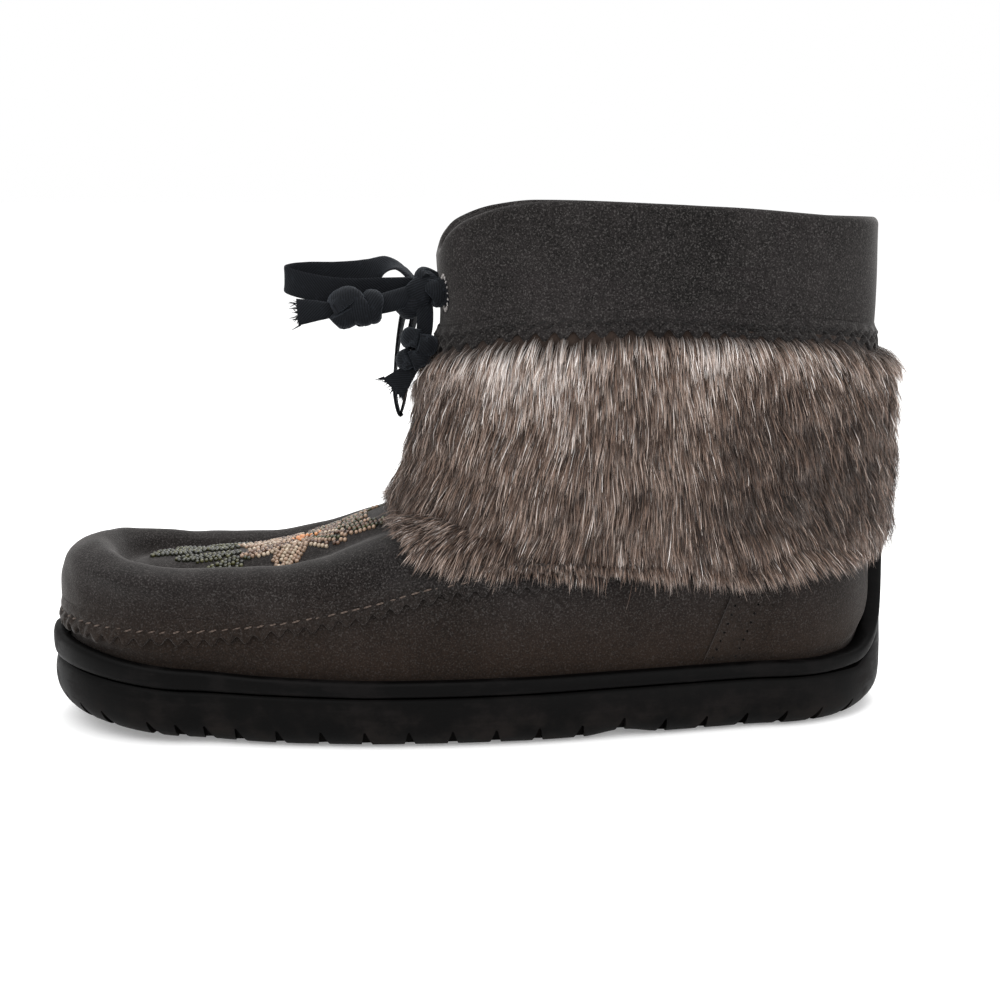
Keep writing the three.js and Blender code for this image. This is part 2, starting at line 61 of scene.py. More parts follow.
# %% Tables of sections
class Table:
    """Rows of numbers under named columns, read smoothly by the first column."""

    def __init__(self, columns, rows):
        data = np.array(rows, float)
        self.keys = data[:, 0]
        self.columns = dict(zip(columns.split(), data.T))

    def at(self, column, key):
        """A monotone cubic through the column, level at both ends."""
        values, keys = self.columns[column], self.keys
        secant = np.diff(values) / np.diff(keys)
        product, total = secant[:-1] * secant[1:], secant[:-1] + secant[1:]
        slope = np.zeros(len(keys))
        slope[1:-1] = np.where(product > 0, 2 * product / np.where(total == 0, 1, total), 0)
        key = np.clip(key, keys[0], keys[-1])
        i = np.clip(np.searchsorted(keys, key, side="right") - 1, 0, len(keys) - 2)
        span = keys[i + 1] - keys[i]
        t = (key - keys[i]) / span
        a, b = slope[i] * span, slope[i + 1] * span
        p, q = values[i], values[i + 1]
        return p + t * (a + t * (3 * (q - p) - 2 * a - b + t * (2 * (p - q) + a + b)))


# The sole's length and its middle's place; from either tip to the centre of its fan of sections, and half
# the straight run between the fans; a fan's nominal radius, its quarter turn, and the way to the heel.
LENGTH = 288
MIDDLE = 2
TIP = 48
SPINE = LENGTH / 2 - TIP
NOMINAL = 40
QUARTER = NOMINAL * np.pi / 2
BACK = 2 * QUARTER + 2 * SPINE
# Room between neighbours; the wall of suede and fleece; the rolled ridge's radius; how far inside its crest
# the plug is sewn; and how far the suede goes down behind the rubber.
GAP = 0.3
WALL = 2.6
ROLL = 13
PLUG_INSIDE = 9
BURIED = 11

# Way along the side from the toe's tip; the reach of the sole on the outer and inner side; the foot's
# wall at the rim and at the pinked seam; the ridge's crest; the plug's edge and middle.
FOOT = Table(
    "way mid outer inner footIn seamIn seam crestR crest plug spine",
    [
        [0, 2.5, 48, 48, 5.2, 3.4, 38.2, 32.5, 62, 52, 55],
        [21, 2.5, 46, 46, 5.2, 3.6, 38, 32.5, 60.6, 52, 55],
        [42, 2.5, 42.8, 43.2, 5.2, 4, 37.2, 31.5, 58.2, 52, 55],
        [63, 2.5, 41.5, 42, 5.2, 4.4, 37, 30, 56.4, 51.6, 54.6],
        [88.1, 2.5, 46, 46.2, 5.2, 4.8, 39.6, 29.4, 56.2, 53, 57],
        [105.8, 2.3, 48.6, 48.2, 5.2, 5, 42.6, 28.8, 59, 57, 61],
        [124.6, 2, 50.6, 49, 5.2, 5, 47, 28, 65, 64, 68],
        [143.4, 1.6, 51, 48.6, 5.2, 5, 52, 27, 69, 69, 75],
        [169.4, 1, 50, 46.5, 5.2, 5, 55, 26, 69, 70, 77],
        [206, 0.5, 45.2, 42.4, 5.2, 4, 54, 24, 69, 70, 77],
        [237.3, 0, 40.2, 39, 5.2, 2.6, 52, 22, 69, 70, 77],
        [255, 0, 38, 37.6, 5.4, 2.2, 50, 22, 69, 70, 77],
        [276, 0, 39.8, 39.6, 5.8, 3.4, 50, 22, 69, 70, 77],
        [297, 0, 44.4, 44.3, 6.8, 5.6, 50, 25, 69, 70, 77],
        [BACK, 0, 48, 48, 7.4, 6, 50, 28, 69, 70, 77],
    ],
)
# Heights under the foot, by X: the tread with its toe spring and arch, and the footbed.
SOLE = Table(
    "x tread bed",
    [
        [-142, 7.5, 15],
        [-130, 5.6, 13.2],
        [-112, 3, 11.4],
        [-96, 1.4, 10.4],
        [-76, 0.4, 10],
        [-58, 0, 10],
        [34, 0, 11],
        [48, 1.6, 11.2],
        [62, 0, 11.4],
        [119, 0, 11.6],
        [146, 2.2, 12],
    ],
)
# The rim bead's middle line: level round the boot, then up the heel and over the rubber tab.
LEVEL_RIM = 273
RIM = Table(
    "step way height width",
    [
        [0, 0, 28, 10],
        [21, 21, 26.7, 9],
        [42, 42, 23.9, 7.8],
        [63, 63, 21.6, 7.2],
        [88.1, 88.1, 20.4, 6.2],
        [124.6, 124.6, 19.6, 5.8],
        [237.3, 237.3, 20.2, 5.8],
        [LEVEL_RIM, 273, 20, 5.8],
        [291, 290, 21, 5.8],
        [299, 297, 23, 5.8],
        [308, 303.5, 27.6, 5.8],
        [317, 307.6, 34.5, 5.8],
        [326, 309.5, 43, 5.8],
        [334, 310, 50, 5.8],
        [339, 311.6, 54.4, 5.8],
        [343, 314.4, 56.6, 5.8],
        [347, BACK, 57.2, 5.8],
    ],
)
# How far the rubber wall climbs at the back of the heel, inside the bead.
TAB = Table("way top", [[291, 0], [297, 2.4], [303, 6.5], [308, 13], [311, 24], [312.5, 34], [BACK, 35.6]])
# Sections of the shaft by height, and the collar's edge seen from the side.
SHAFT_FLOOR = 36
SHAFT = Table(
    "z front back half",
    [
        [SHAFT_FLOOR, -2, 129, 30],
        [60, -22, 139, 36.6],
        [75, -20, 139, 37.6],
        [93, -14, 138.8, 38],
        [114, -10.4, 138.6, 37.8],
        [135, -9.8, 138.8, 37.5],
        [155, -10.8, 139.2, 37.5],
        [175, -11, 139.2, 37],
    ],
)
SHAFT_ROUND = 2.3
COLLAR_EDGE = Table("x z", [[-11, 158], [-8, 163.5], [-3, 168], [10, 172.4], [26, 174], [79, 172.2],
                            [139, 168.5]])

sole_low, sole_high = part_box("outsole")
straight = np.linspace(QUARTER, BACK - QUARTER, 200)
outermost = (FOOT.at("mid", straight) - FOOT.at("outer", straight)).min()
innermost = (FOOT.at("mid", straight) + FOOT.at("inner", straight)).max()
shift_x = MIDDLE - LENGTH / 2 - 1000 * sole_low.x
shift_y = (outermost + innermost - 1000 * (sole_low.y + sole_high.y)) / 2
SHIFT = np.array([shift_x, shift_y, 0])


def into_frame(points):
    """Points on the draft, in millimetres, as points of the frame, in metres."""
    return (np.asarray(points, float) - SHIFT) / 1000


def at_vector(points):
    """The same for one point, as a vector."""
    return Vector(into_frame(points).tolist())


def on_draft(mesh):
    """A mesh's points back on the draft, in millimetres."""
    spots = np.empty(3 * len(mesh.vertices))
    mesh.vertices.foreach_get("co", spots)
    return 1000 * spots.reshape(-1, 3) + SHIFT


print("draft to frame, mm:", np.round(-SHIFT, 2))

# %% [markdown]
# ## Sections of the foot
# The foot is a fan of sections at the toe, a straight run along the sides and another fan at the heel. In
# each section one curve climbs from the rim over the bulging side, round the rolled ridge and down to the
# plug. Modelling the foot as one function, instead of pushing points of a primitive about, is what lets the
# seam band, the stitches, the heel panel and the beads lie exactly on it.

# %% The foot's function
def section(way, side):
    """Where sections stand: on the centre line, which way they look, and their reach to the sole's edge."""
    way, side = np.broadcast_arrays(np.asarray(way, float), np.asarray(side, float))
    toe = np.minimum(way / NOMINAL, np.pi / 2)
    heel = np.maximum((way - QUARTER - 2 * SPINE) / NOMINAL, 0)
    reach = np.where(side < 0, FOOT.at("outer", way), FOOT.at("inner", way))
    return SimpleNamespace(
        way=way,
        x=np.clip(way - QUARTER, 0, 2 * SPINE) - SPINE + MIDDLE,
        y=FOOT.at("mid", way),
        reach=reach,
        out_x=np.sin(heel) - np.cos(toe),
        out_y=side * np.sin(toe) * np.cos(heel),
        read=lambda column: FOOT.at(column, way),
    )


def on_section(at, r, z):
    """Points at r from the centre line; z is heights, or a function of X."""
    extra = (slice(None),) + (None,) * (np.ndim(r) - 1)
    x = at.x[extra] + at.out_x[extra] * r
    y = at.y[extra] + at.out_y[extra] * r
    return np.stack(np.broadcast_arrays(x, y, z(x) if callable(z) else z), -1)


def rim_edge(way, edge):
    """The height of the bead's lower (-1) or upper (1) edge where it runs level."""
    step = np.minimum(way, LEVEL_RIM)
    return RIM.at("height", step) + edge * RIM.at("width", step) / 2


def foot_knots(at):
    """The section's curve as a few knots (r, z), from inside the rim to the centre line."""
    foot, seam = at.reach - at.read("footIn"), at.reach - at.read("seamIn")
    crest, plug, rim = at.read("crestR"), at.read("plug"), rim_edge(at.way, 1)
    seam_z, crest_z, spine_z = at.read("seam"), at.read("crest"), at.read("spine")
    knots = [
        (foot, rim - BURIED),
        (foot, rim),
        ((foot + seam) / 2 + 1.2, (rim + seam_z) / 2),
        (seam, seam_z),
        (np.minimum(crest + ROLL, seam), np.maximum(crest_z - 0.85 * ROLL, seam_z + 3)),
        (crest + 0.68 * ROLL, crest_z - 0.28 * ROLL),
        (crest, crest_z),
        (crest - 0.55 * PLUG_INSIDE, crest_z - 0.35 * (crest_z - plug)),
        (crest - PLUG_INSIDE, plug),
        (0.36 * crest, plug + 0.8 * (spine_z - plug)),
        (0 * crest, spine_z),
    ]
    return np.stack([np.stack(np.broadcast_arrays(r, z), -1) for r, z in knots], 1)


def through(knots, t):
    """Centripetal curves through knots (n, k, axes) at t, as points and unit tangents."""
    before = 2 * knots[:, :1] - knots[:, 1:2]
    after = 2 * knots[:, -1:] - knots[:, -2:-1]
    p = np.concatenate([before, knots, after], 1)
    step = np.maximum(np.linalg.norm(np.diff(p, axis=1), axis=-1, keepdims=True), 1e-6) ** 0.5
    x0, x1, x2, x3 = p[:, :-3], p[:, 1:-2], p[:, 2:-1], p[:, 3:]
    d0, d1, d2 = step[:, :-2], step[:, 1:-1], step[:, 2:]
    leave = ((x1 - x0) / d0 - (x2 - x0) / (d0 + d1) + (x2 - x1) / d1) * d1
    arrive = ((x2 - x1) / d1 - (x3 - x1) / (d1 + d2) + (x3 - x2) / d2) * d1
    last = knots.shape[1] - 1
    place = np.broadcast_to(np.clip(t, 0, 1) * last, (len(knots), np.shape(t)[-1]))
    i = np.minimum(place.astype(int), last - 1)
    w = (place - i)[..., None]
    a, b, c, d = (np.take_along_axis(v, i[..., None], 1) for v in (x1, x2, leave, arrive))
    point = a + w * (c + w * (3 * (b - a) - 2 * c - d + w * (2 * (a - b) + c + d)))
    tangent = c + w * (2 * (3 * (b - a) - 2 * c - d) + 3 * w * (2 * (a - b) + c + d))
    return point, tangent / np.maximum(np.linalg.norm(tangent, axis=-1, keepdims=True), 1e-9)


def foot_skin(way, side, t, grow=0.0):
    """Points of the foot's outside, (ways, t, 3), moved out by grow."""
    at = section(way, side)
    t = np.broadcast_to(t, (len(at.way), np.shape(t)[-1]))
    point, tangent = through(foot_knots(at), t)
    top = t >= 1
    normal = np.stack([tangent[..., 1], -tangent[..., 0]], -1)
    normal[top] = (0, 1)
    moved = point + np.broadcast_to(grow, t.shape)[..., None] * normal
    moved[..., 0][top] = 0
    return on_section(at, np.maximum(moved[..., 0], 0), moved[..., 1])


SIDE_T = np.linspace(0.05, 0.58, 240)


def foot_at_height(way, side, height, grow=0.0):
    """Points of the foot's outside at given heights under the ridge's crest, (ways, heights, 3)."""
    point, _ = through(foot_knots(section(way, side)), SIDE_T)
    heights = np.broadcast_to(height, (len(way), np.shape(height)[-1]))
    t = np.stack([np.interp(h, z, SIDE_T) for h, z in zip(heights, point[..., 1])])
    return foot_skin(way, side, t, grow)


def ways_round(count):
    """Ways and sides all round the boot: heel to toe on the outer side, and back on the inner side."""
    half = np.linspace(BACK, 0, count // 2 + 1)
    return np.concatenate([half, half[1:-1][::-1]]), np.repeat([-1.0, 1.0], [len(half), len(half) - 2])


# %% The shaft's function
def shaft_skin(angle, z, grow=0.0):
    """Points of the shaft's outside; angle 0 is the back and pi the front."""
    angle, z, grow = np.broadcast_arrays(angle, z, grow)
    power = 2 / SHAFT_ROUND
    c, s = (np.sign(v) * np.abs(v) ** power for v in (np.cos(angle), np.sin(angle)))
    front, back = SHAFT.at("front", z) - grow, SHAFT.at("back", z) + grow
    x = (front + back) / 2 + c * (back - front) / 2
    return np.stack([x, s * (SHAFT.at("half", z) + grow), z], -1)


def collar_height(angle):
    """Height of the shaft's top edge."""
    return COLLAR_EDGE.at("z", shaft_skin(angle, 165.0)[..., 0])


# %% Meshes from grids of points
def deselect():
    """Nothing stays selected, so that an operator changes only what is picked next."""
    bpy.ops.object.select_all(action="DESELECT")


def take(piece):
    """Makes one object the selected and active one."""
    deselect()
    piece.select_set(True)
    bpy.context.view_layer.objects.active = piece
    return piece


def smoothed(piece, degrees):
    """Soft shading, with an edge wherever faces turn by more than this."""
    take(piece)
    bpy.ops.object.shade_smooth_by_angle(angle=np.radians(degrees))
    return piece


def linked(name, data):
    """A new object in the scene."""
    made = bpy.data.objects.new(name, data)
    bpy.context.scene.collection.objects.link(made)
    return made


def piece_from(name, points, faces, material, smooth=None):
    """A mesh object from draft points and a list of faces."""
    mesh = bpy.data.meshes.new(name)
    mesh.from_pydata(into_frame(points).tolist(), [], [tuple(face) for face in faces])
    mesh.validate()
    piece = linked(name, mesh)
    mesh.materials.append(material)
    return piece if smooth is None else smoothed(piece, smooth)


def grid_faces(rows, columns, wrap=False, first=0):
    """Quads of a grid whose points are numbered row by row."""
    last = columns if wrap else columns - 1
    i, j = np.meshgrid(np.arange(rows - 1), np.arange(last), indexing="ij")
    a, b = i * columns + j, i * columns + (j + 1) % columns
    return (np.stack([a, b, b + columns, a + columns], -1).reshape(-1, 4) + first).tolist()


def turned_out(piece):
    """Recalculates the normals so that they point outwards."""
    take(piece)
    bpy.ops.object.mode_set(mode="EDIT")
    bpy.ops.mesh.select_all(action="SELECT")
    bpy.ops.mesh.remove_doubles(threshold=1e-6)
    bpy.ops.mesh.dissolve_degenerate(threshold=1e-7)
    bpy.ops.mesh.normals_make_consistent(inside=False)
    bpy.ops.object.mode_set(mode="OBJECT")
    return piece


def closed_form(name, rings, material, capped=False, smooth=40):
    """Rings of points (rows, columns, 3) as a closed skin; end rings shrink to a point or are capped."""
    rows, columns, _ = rings.shape
    points = rings.reshape(-1, 3)
    faces = grid_faces(rows, columns, wrap=True)
    if capped:
        faces.append(tuple(range(columns))[::-1])
        faces.append(tuple(range((rows - 1) * columns, rows * columns)))
    return turned_out(piece_from(name, points, faces, material, smooth))


def plate(name, outside, inside, wrap=False):
    """A thin closed shell of suede between two grids of points (rows, columns, 3). wrap makes it a ring."""
    rows, columns, _ = outside.shape
    count = rows * columns
    faces = grid_faces(rows, columns, wrap)
    faces += [face[::-1] for face in grid_faces(rows, columns, wrap, count)]
    last = columns if wrap else columns - 1
    for j in range(last):
        k = (j + 1) % columns
        faces.append((k, j, j + count, k + count))
        top = (rows - 1) * columns
        faces.append((top + j, top + k, top + k + count, top + j + count))
    if not wrap:
        for i in range(rows - 1):
            a, b = i * columns, (i + 1) * columns
            faces.append((a, b, b + count, a + count))
            a, b = a + columns - 1, b + columns - 1
            faces.append((b, a, a + count, b + count))
    points = np.concatenate([outside.reshape(-1, 3), inside.reshape(-1, 3)])
    return turned_out(piece_from(name, points, faces, SUEDE, 50))


def combine(piece, tool, operation):
    """Joins, cuts or intersects two closed pieces, and removes the tool."""
    change = piece.modifiers.new("combine", "BOOLEAN")
    change.object = tool
    change.operation = operation
    change.solver = "MANIFOLD"
    take(piece)
    bpy.ops.object.modifier_apply(modifier=change.name)
    bpy.data.objects.remove(tool)
    return piece


def count_of(piece):
    """Triangles of a piece."""
    return sum(len(face.vertices) - 2 for face in piece.data.polygons)

# %% [markdown]
# ## Shader maths
# A finish is worked out from place: noise for nap and dust, waves for a weave. Written as Python sums the
# recipe stays readable, so one small class wraps a shader socket and every operator adds its Math node. A
# Finish holds one material, and its method node adds any other node.

# %% Finishes as expressions
class Value:
    """A shader socket that takes part in arithmetic."""

    def __init__(self, finish, socket):
        self.finish = finish
        self.socket = socket

    def _math(self, operation, *inputs):
        return self.finish.node("Math", {"operation": operation}, dict(enumerate(inputs)))

    def __add__(self, other):
        return self._math("ADD", self, other)

    def __sub__(self, other):
        return self._math("SUBTRACT", self, other)

    def __rsub__(self, other):
        return self._math("SUBTRACT", other, self)

    def __mul__(self, other):
        return self._math("MULTIPLY", self, other)

    __radd__ = __add__
    __rmul__ = __mul__


class Finish:
    """One procedural material. Constants go straight onto the shader's own sockets."""

    def __init__(self, name, constants):
        self.material = bpy.data.materials.new(name)
        self.material.use_nodes = True
        self.tree = self.material.node_tree
        self.shader = self.tree.nodes["Principled BSDF"]
        for socket, value in constants.items():
            self.shader.inputs[socket].default_value = value

    def feed(self, socket, value):
        """Links a Value to a socket, or sets the socket to a number, a tuple or a colour."""
        if isinstance(value, Value):
            self.tree.links.new(value.socket, socket)
        elif isinstance(value, tuple) and len(value) == 3 and socket.type == "RGBA":
            socket.default_value = (*value, 1)
        else:
            socket.default_value = value

    def node(self, kind, settings=None, sockets=None, output=0):
        """Adds a node: its settings first, then its sockets. Gives one output as a Value."""
        made = self.tree.nodes.new("ShaderNode" + kind)
        for name, value in (settings or {}).items():
            if name == "stops":
                elements = made.color_ramp.elements
                while len(elements) < len(value):
                    elements.new(0.5)
                for element, (position, colour) in zip(elements, value):
                    element.position = position
                    element.color = (*colour, 1)
            else:
                setattr(made, name, value)
        for name, value in (sockets or {}).items():
            self.feed(made.inputs[name], value)
        return Value(self, made.outputs[output])

    def place(self):
        """Where a point of the piece is, in metres."""
        return self.node("TexCoord", output="Object")

    def part(self, vector, axis):
        """One coordinate, X, Y or Z, of a vector."""
        return self.node("SeparateXYZ", None, {"Vector": vector}, axis)

    def drawn_out(self, scale):
        """Places stretched along the axes whose scale is small."""
        return self.node("Mapping", None, {"Vector": self.place(), "Scale": scale})

    def noise(self, size, detail=3, roughness=0.5, vector=None):
        """Cloudy noise from 0 to 1 whose blotches are about this many millimetres across."""
        shape = {"Scale": 1000 / size, "Detail": detail, "Roughness": roughness}
        return self.node("TexNoise", None, {"Vector": vector or self.place(), **shape})

    def step(self, value, low, high):
        """0 below low, 1 above high, and soft between them."""
        settings = {"interpolation_type": "SMOOTHSTEP"}
        return self.node("MapRange", settings, {"Value": value, "From Min": low, "From Max": high})

    def blend(self, factor, first, second):
        """Two colours mixed by a factor."""
        settings = {"data_type": "RGBA", "blend_type": "MIX", "clamp_factor": True}
        return self.node("Mix", settings, {0: factor, 6: first, 7: second}, 2)

    def ramp(self, value, stops):
        """A colour for each value, through these stops."""
        return self.node("ValToRGB", {"stops": stops}, {"Fac": value})

    def finish(self, colour, roughness, height=None, depth=0.0002, strength=1.0):
        """Feeds the shader, with height as relief of this many metres."""
        self.feed(self.shader.inputs["Base Color"], colour)
        self.feed(self.shader.inputs["Roughness"], roughness)
        if height is not None:
            relief = self.node("Bump", None, {"Height": height, "Distance": depth, "Strength": strength})
            self.feed(self.shader.inputs["Normal"], relief)
        return self.material


# %% [markdown]
# ## Suede
# Suede is the brushed flesh side of a hide. Its nap lies in small clouds that catch the light one way or
# the other, it has no gloss, and at a grazing angle the fibres glow a little. Noise at three sizes drives
# both colour and relief, single pale fibres stand out, and a touch of sheen gives the bloom. Low down,
# where damp and road dust get at it, the hide is browner.

# %% Suede, lining, rubber and thread
def suede(name, dark, light, warm):
    """Brushed leather between a dark and a light tone, with a warmer tone low on the boot."""
    s = Finish(name, {"Specular IOR Level": 0.12, "Sheen Weight": 0.2, "Sheen Roughness": 0.4,
                      "Sheen Tint": (0.85, 0.82, 0.8, 1)})
    nap = s.noise(0.8, 4, 0.7)
    cloud = s.noise(9, 4, 0.6)
    patch = s.noise(42, 3, 0.55)
    brushed = s.noise(5, 4, 0.6, s.drawn_out((1.0, 1.0, 2.6)))
    tone = 0.5 * nap + 0.1 * cloud + 0.3 * patch + 0.1 * brushed
    shade = s.step(tone, 0.36, 0.64)
    warm_shade = s.blend(shade, tuple(0.55 * c for c in warm), tuple(1.6 * c for c in warm))
    low = 1 - s.step(s.part(s.place(), "Z") + 0.016 * (patch - 0.5), 0.026, 0.062)
    base = s.blend(low, s.blend(shade, dark, light), warm_shade)
    fibre = s.step(s.noise(0.55, 2, 0.6), 0.5, 0.72) * (1 - 0.6 * low)
    base = s.blend(0.4 * fibre, base, (0.1, 0.094, 0.09))
    relief = 0.55 * nap + 0.3 * s.noise(0.45, 2) + 0.4 * cloud
    return s.finish(base, 0.94 - 0.06 * fibre, relief, 0.0004, 0.7)


SUEDE = suede("brushed_suede", (0.0014, 0.0012, 0.0011), (0.0175, 0.0152, 0.015), (0.0104, 0.0064, 0.0043))

fleece = Finish("fleece_lining", {"Specular IOR Level": 0.1, "Sheen Weight": 0.4, "Sheen Roughness": 0.6})
curls = fleece.node("TexVoronoi", {"feature": "SMOOTH_F1"},
                    {"Vector": fleece.place(), "Scale": 420.0, "Randomness": 1.0}, "Distance")
# The fleece is painted darker in the gaps between its curls and lighter on their tops, as painted shade and
# highlight.
shade = fleece.step(curls + 0.3 * fleece.noise(3, 3), 0.1, 0.75)
FLEECE = fleece.finish(fleece.blend(shade, (0.2, 0.165, 0.13), (0.075, 0.06, 0.048)), 0.95,
                       1 - curls + 0.3 * fleece.noise(0.8, 3), 0.0009, 0.7)

rubber = Finish("moulded_rubber", {"Specular IOR Level": 0.06})
scuff = rubber.noise(14, 5, 0.65)
grain = rubber.noise(0.8, 3, 0.6)
low_down = 1 - rubber.step(rubber.part(rubber.place(), "Z"), 0.001, 0.02)
dust = low_down * rubber.step(scuff, 0.38, 0.7)
streaks = rubber.noise(6, 4, 0.7, rubber.drawn_out((0.25, 0.25, 2.5)))
smear = rubber.step(0.6 * scuff + 0.4 * streaks, 0.5, 0.62)
black = rubber.blend(smear, (0.0009, 0.0008, 0.0008), (0.0036, 0.0031, 0.0031))
RUBBER = rubber.finish(rubber.blend(0.35 * dust, black, (0.02, 0.016, 0.014)),
                       0.46 + 0.16 * smear + 0.14 * dust + 0.06 * grain, grain, 0.00008, 0.5)


def thread(name, dark, light):
    """Waxed sewing thread, with its twist showing as fine slanting strands."""
    t = Finish(name, {"Specular IOR Level": 0.2, "Sheen Weight": 0.05})
    twist = t.node("TexWave", {"wave_type": "BANDS", "bands_direction": "DIAGONAL"},
                   {"Vector": t.place(), "Scale": 420.0, "Distortion": 2.0, "Detail": 2.0})
    mottle = t.noise(4, 2)
    # The colour is lighter along each twist and darker between them, as painted highlight and shade; the
    # mottle is random tone.
    colour = t.blend(0.6 * twist + 0.4 * mottle, dark, light)
    return t.finish(colour, 0.8 - 0.1 * mottle, twist, 0.0001, 0.6)


THREAD = thread("tan_thread", (0.032, 0.022, 0.017), (0.11, 0.082, 0.066))
# The dark thread's finish also paints the shade inside the heel panel's needle holes.
DARK_THREAD_AND_SHADE = thread("dark_thread_and_hole_shade", (0.0015, 0.0013, 0.0012), (0.007, 0.006, 0.0055))
PALE_THREAD = thread("pale_thread", (0.12, 0.11, 0.105), (0.36, 0.34, 0.33))
print("finishes:", [m.name for m in (SUEDE, FLEECE, RUBBER, THREAD, DARK_THREAD_AND_SHADE, PALE_THREAD)])

# %% [markdown]
# ## The upper
# The real upper is leather stretched over a last, gathered under a thick rolled seam. It could be pulled up
# from a primitive, but then no seam would stay on its section. Here rings of points from the foot's own
# function are closed into solids: the foot, joined to the shaft, less a hollow of the wall's thickness,
# less the window for the plug and the two slits for the tape. The cutting pieces carry the fleece, so the
# boot's inside is lined wherever they cut.

# %% Gentle unevenness
def swell(points, size, seed):
    """A smooth field between about -1 and 1 over draft points, with swells this many millimetres long."""
    generator = np.random.default_rng(seed)
    total = np.zeros(points.shape[:-1])
    for _ in range(7):
        direction = generator.normal(size=3)
        direction *= 2 * np.pi / (size * generator.uniform(0.7, 1.5)) / np.linalg.norm(direction)
        total += np.sin(points @ direction + generator.uniform(0, 2 * np.pi))
    return total / 3.2


def ease(value, low, high):
    """0 below low, 1 above high, and soft between them."""
    t = np.clip((value - low) / (high - low), 0, 1)
    return t * t * (3 - 2 * t)


# %% Closed forms of foot and shaft
# The folded top edge, from outside to inside, as steps outward and down; how much the suede undulates;
# and where the plug's window ends under the fur.
TOP_FOLD = [(-0.12, 1.7), (-0.45, 1.0), (-0.95, 0.4), (-1.5, 0.08), (-2.0, 0.25), (-2.5, 0.9), (-3.6, 3)]
UNEVEN = 0.35
PLUG_END = -24


def foot_rings(grow, floor, around=260, up=76, uneven=0.0):
    """The whole foot with a flat underside that follows floor(x)."""
    way, side = ways_round(around)
    at = section(way, side)
    t = np.linspace(0, 1, up)
    skin = foot_skin(way, side, t, grow)
    if uneven:
        lift = uneven * swell(skin, 30, 3) + 0.5 * uneven * swell(skin, 12, 4)
        lift = grow + lift * ease(skin[..., 2], 34, 44)
        skin = foot_skin(way, side, t, lift)
    edge = (at.reach - at.read("footIn") + grow)[:, None]
    base = np.concatenate([on_section(at, 0 * edge, floor), on_section(at, edge, floor)], 1)
    return np.concatenate([base, skin], 1).transpose(1, 0, 2)


def shaft_rings(grow, above=0.0, around=180, levels=40, soft=False):
    """The whole shaft. above lifts its top past the collar's edge; soft rounds that edge over."""
    angle = np.linspace(0, 2 * np.pi, around, endpoint=False)
    top = collar_height(angle) + above
    share = np.linspace(0, 1, levels)[:, None]
    if not soft:
        return shaft_skin(angle, SHAFT_FLOOR + share * (top - SHAFT_FLOOR), grow)
    z = SHAFT_FLOOR + share * (top - 2.4 - SHAFT_FLOOR)
    body = shaft_skin(angle, z, grow)
    lift = 0.55 * swell(body, 46, 5) + 0.22 * swell(body * (1, 1, 0.45), 17, 6)
    lift = grow + lift * ease(z, 120, 140)
    body = shaft_skin(angle, z, lift)
    edge = [shaft_skin(angle, top - drop, lift[-1] + inward) for inward, drop in TOP_FOLD]
    return np.concatenate([body, np.stack(edge)])


def above_bed(x):
    """The suede's underside, just over the rubber's footbed."""
    return SOLE.at("bed", x) + GAP


def below_bed(x):
    """Well under the footbed, so that a cut goes right through the underside."""
    return SOLE.at("bed", x) - 12


def plug_prism(name, grow, material, low=40):
    """The U of the plug seen from above, as an upright prism from the height low."""
    radius = float(FOOT.at("crestR", QUARTER)) - PLUG_INSIDE + grow
    mid = float(FOOT.at("mid", 0))
    arc = np.linspace(np.pi / 2, 3 * np.pi / 2, 64)
    outline = [(PLUG_END + grow, mid - radius), (PLUG_END + grow, mid + radius)]
    outline += [(MIDDLE - SPINE + radius * np.cos(a), mid + radius * np.sin(a)) for a in arc]
    rings = np.array([[(x, y, z) for x, y in outline] for z in (low, 100)])
    return closed_form(name, rings, material, capped=True)


def hollow_form(name):
    """The inside of the boot, lined with fleece."""
    inside = closed_form(name, foot_rings(-WALL, below_bed, 150, 40), FLEECE)
    shaft = closed_form(name + "_shaft", shaft_rings(-WALL, 20, 110, 24), FLEECE, capped=True)
    return combine(inside, shaft, "UNION")


# %% Suede skin, window and slits
upper = closed_form("upper_suede", foot_rings(0, above_bed, uneven=UNEVEN), SUEDE)
combine(upper, closed_form("shaft_solid", shaft_rings(0, soft=True), SUEDE, capped=True), "UNION")
combine(upper, hollow_form("inside"), "DIFFERENCE")
combine(upper, plug_prism("window", GAP / 2, SUEDE), "DIFFERENCE")

SLIT = SimpleNamespace(y=11, z=144, width=3.0, height=10)
for side in (-1, 1):
    deselect()
    bpy.ops.mesh.primitive_cube_add(size=0.001, location=at_vector([-9, side * SLIT.y, SLIT.z]),
                                    rotation=(0, 0, -side * 0.5), scale=(16, SLIT.width, SLIT.height))
    punch = bpy.context.active_object
    bpy.ops.object.transform_apply(location=True, rotation=True, scale=True)
    bpy.ops.object.mode_set(mode="EDIT")
    bpy.ops.mesh.bevel(offset=0.0012, segments=3, affect="EDGES")
    bpy.ops.object.mode_set(mode="OBJECT")
    punch.data.materials.append(SUEDE)
    combine(upper, punch, "DIFFERENCE")
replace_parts(smoothed(upper, 38), "upper")
print("upper:", count_of(upper), "triangles, materials", [m.name for m in upper.data.materials])

# %% [markdown]
# ## The plug
# The tongue-shaped plug closes the toe's window. It is a separate piece of the same suede, sunk inside the
# ridge, so it is cut from the same solid with a slightly smaller prism, which leaves the sewn channel
# round it.

# %% Plug
plug = closed_form("vamp_plug_suede", foot_rings(0, above_bed, 200, 60, uneven=0.3), SUEDE)
combine(plug, closed_form("under_plug", foot_rings(-WALL, below_bed, 150, 40), FLEECE), "DIFFERENCE")
combine(plug, plug_prism("plug_outline", -GAP / 2, SUEDE, 48.5), "INTERSECT")
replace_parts(smoothed(plug, 38), "vamp_plug")
print("plug:", count_of(plug), "triangles")

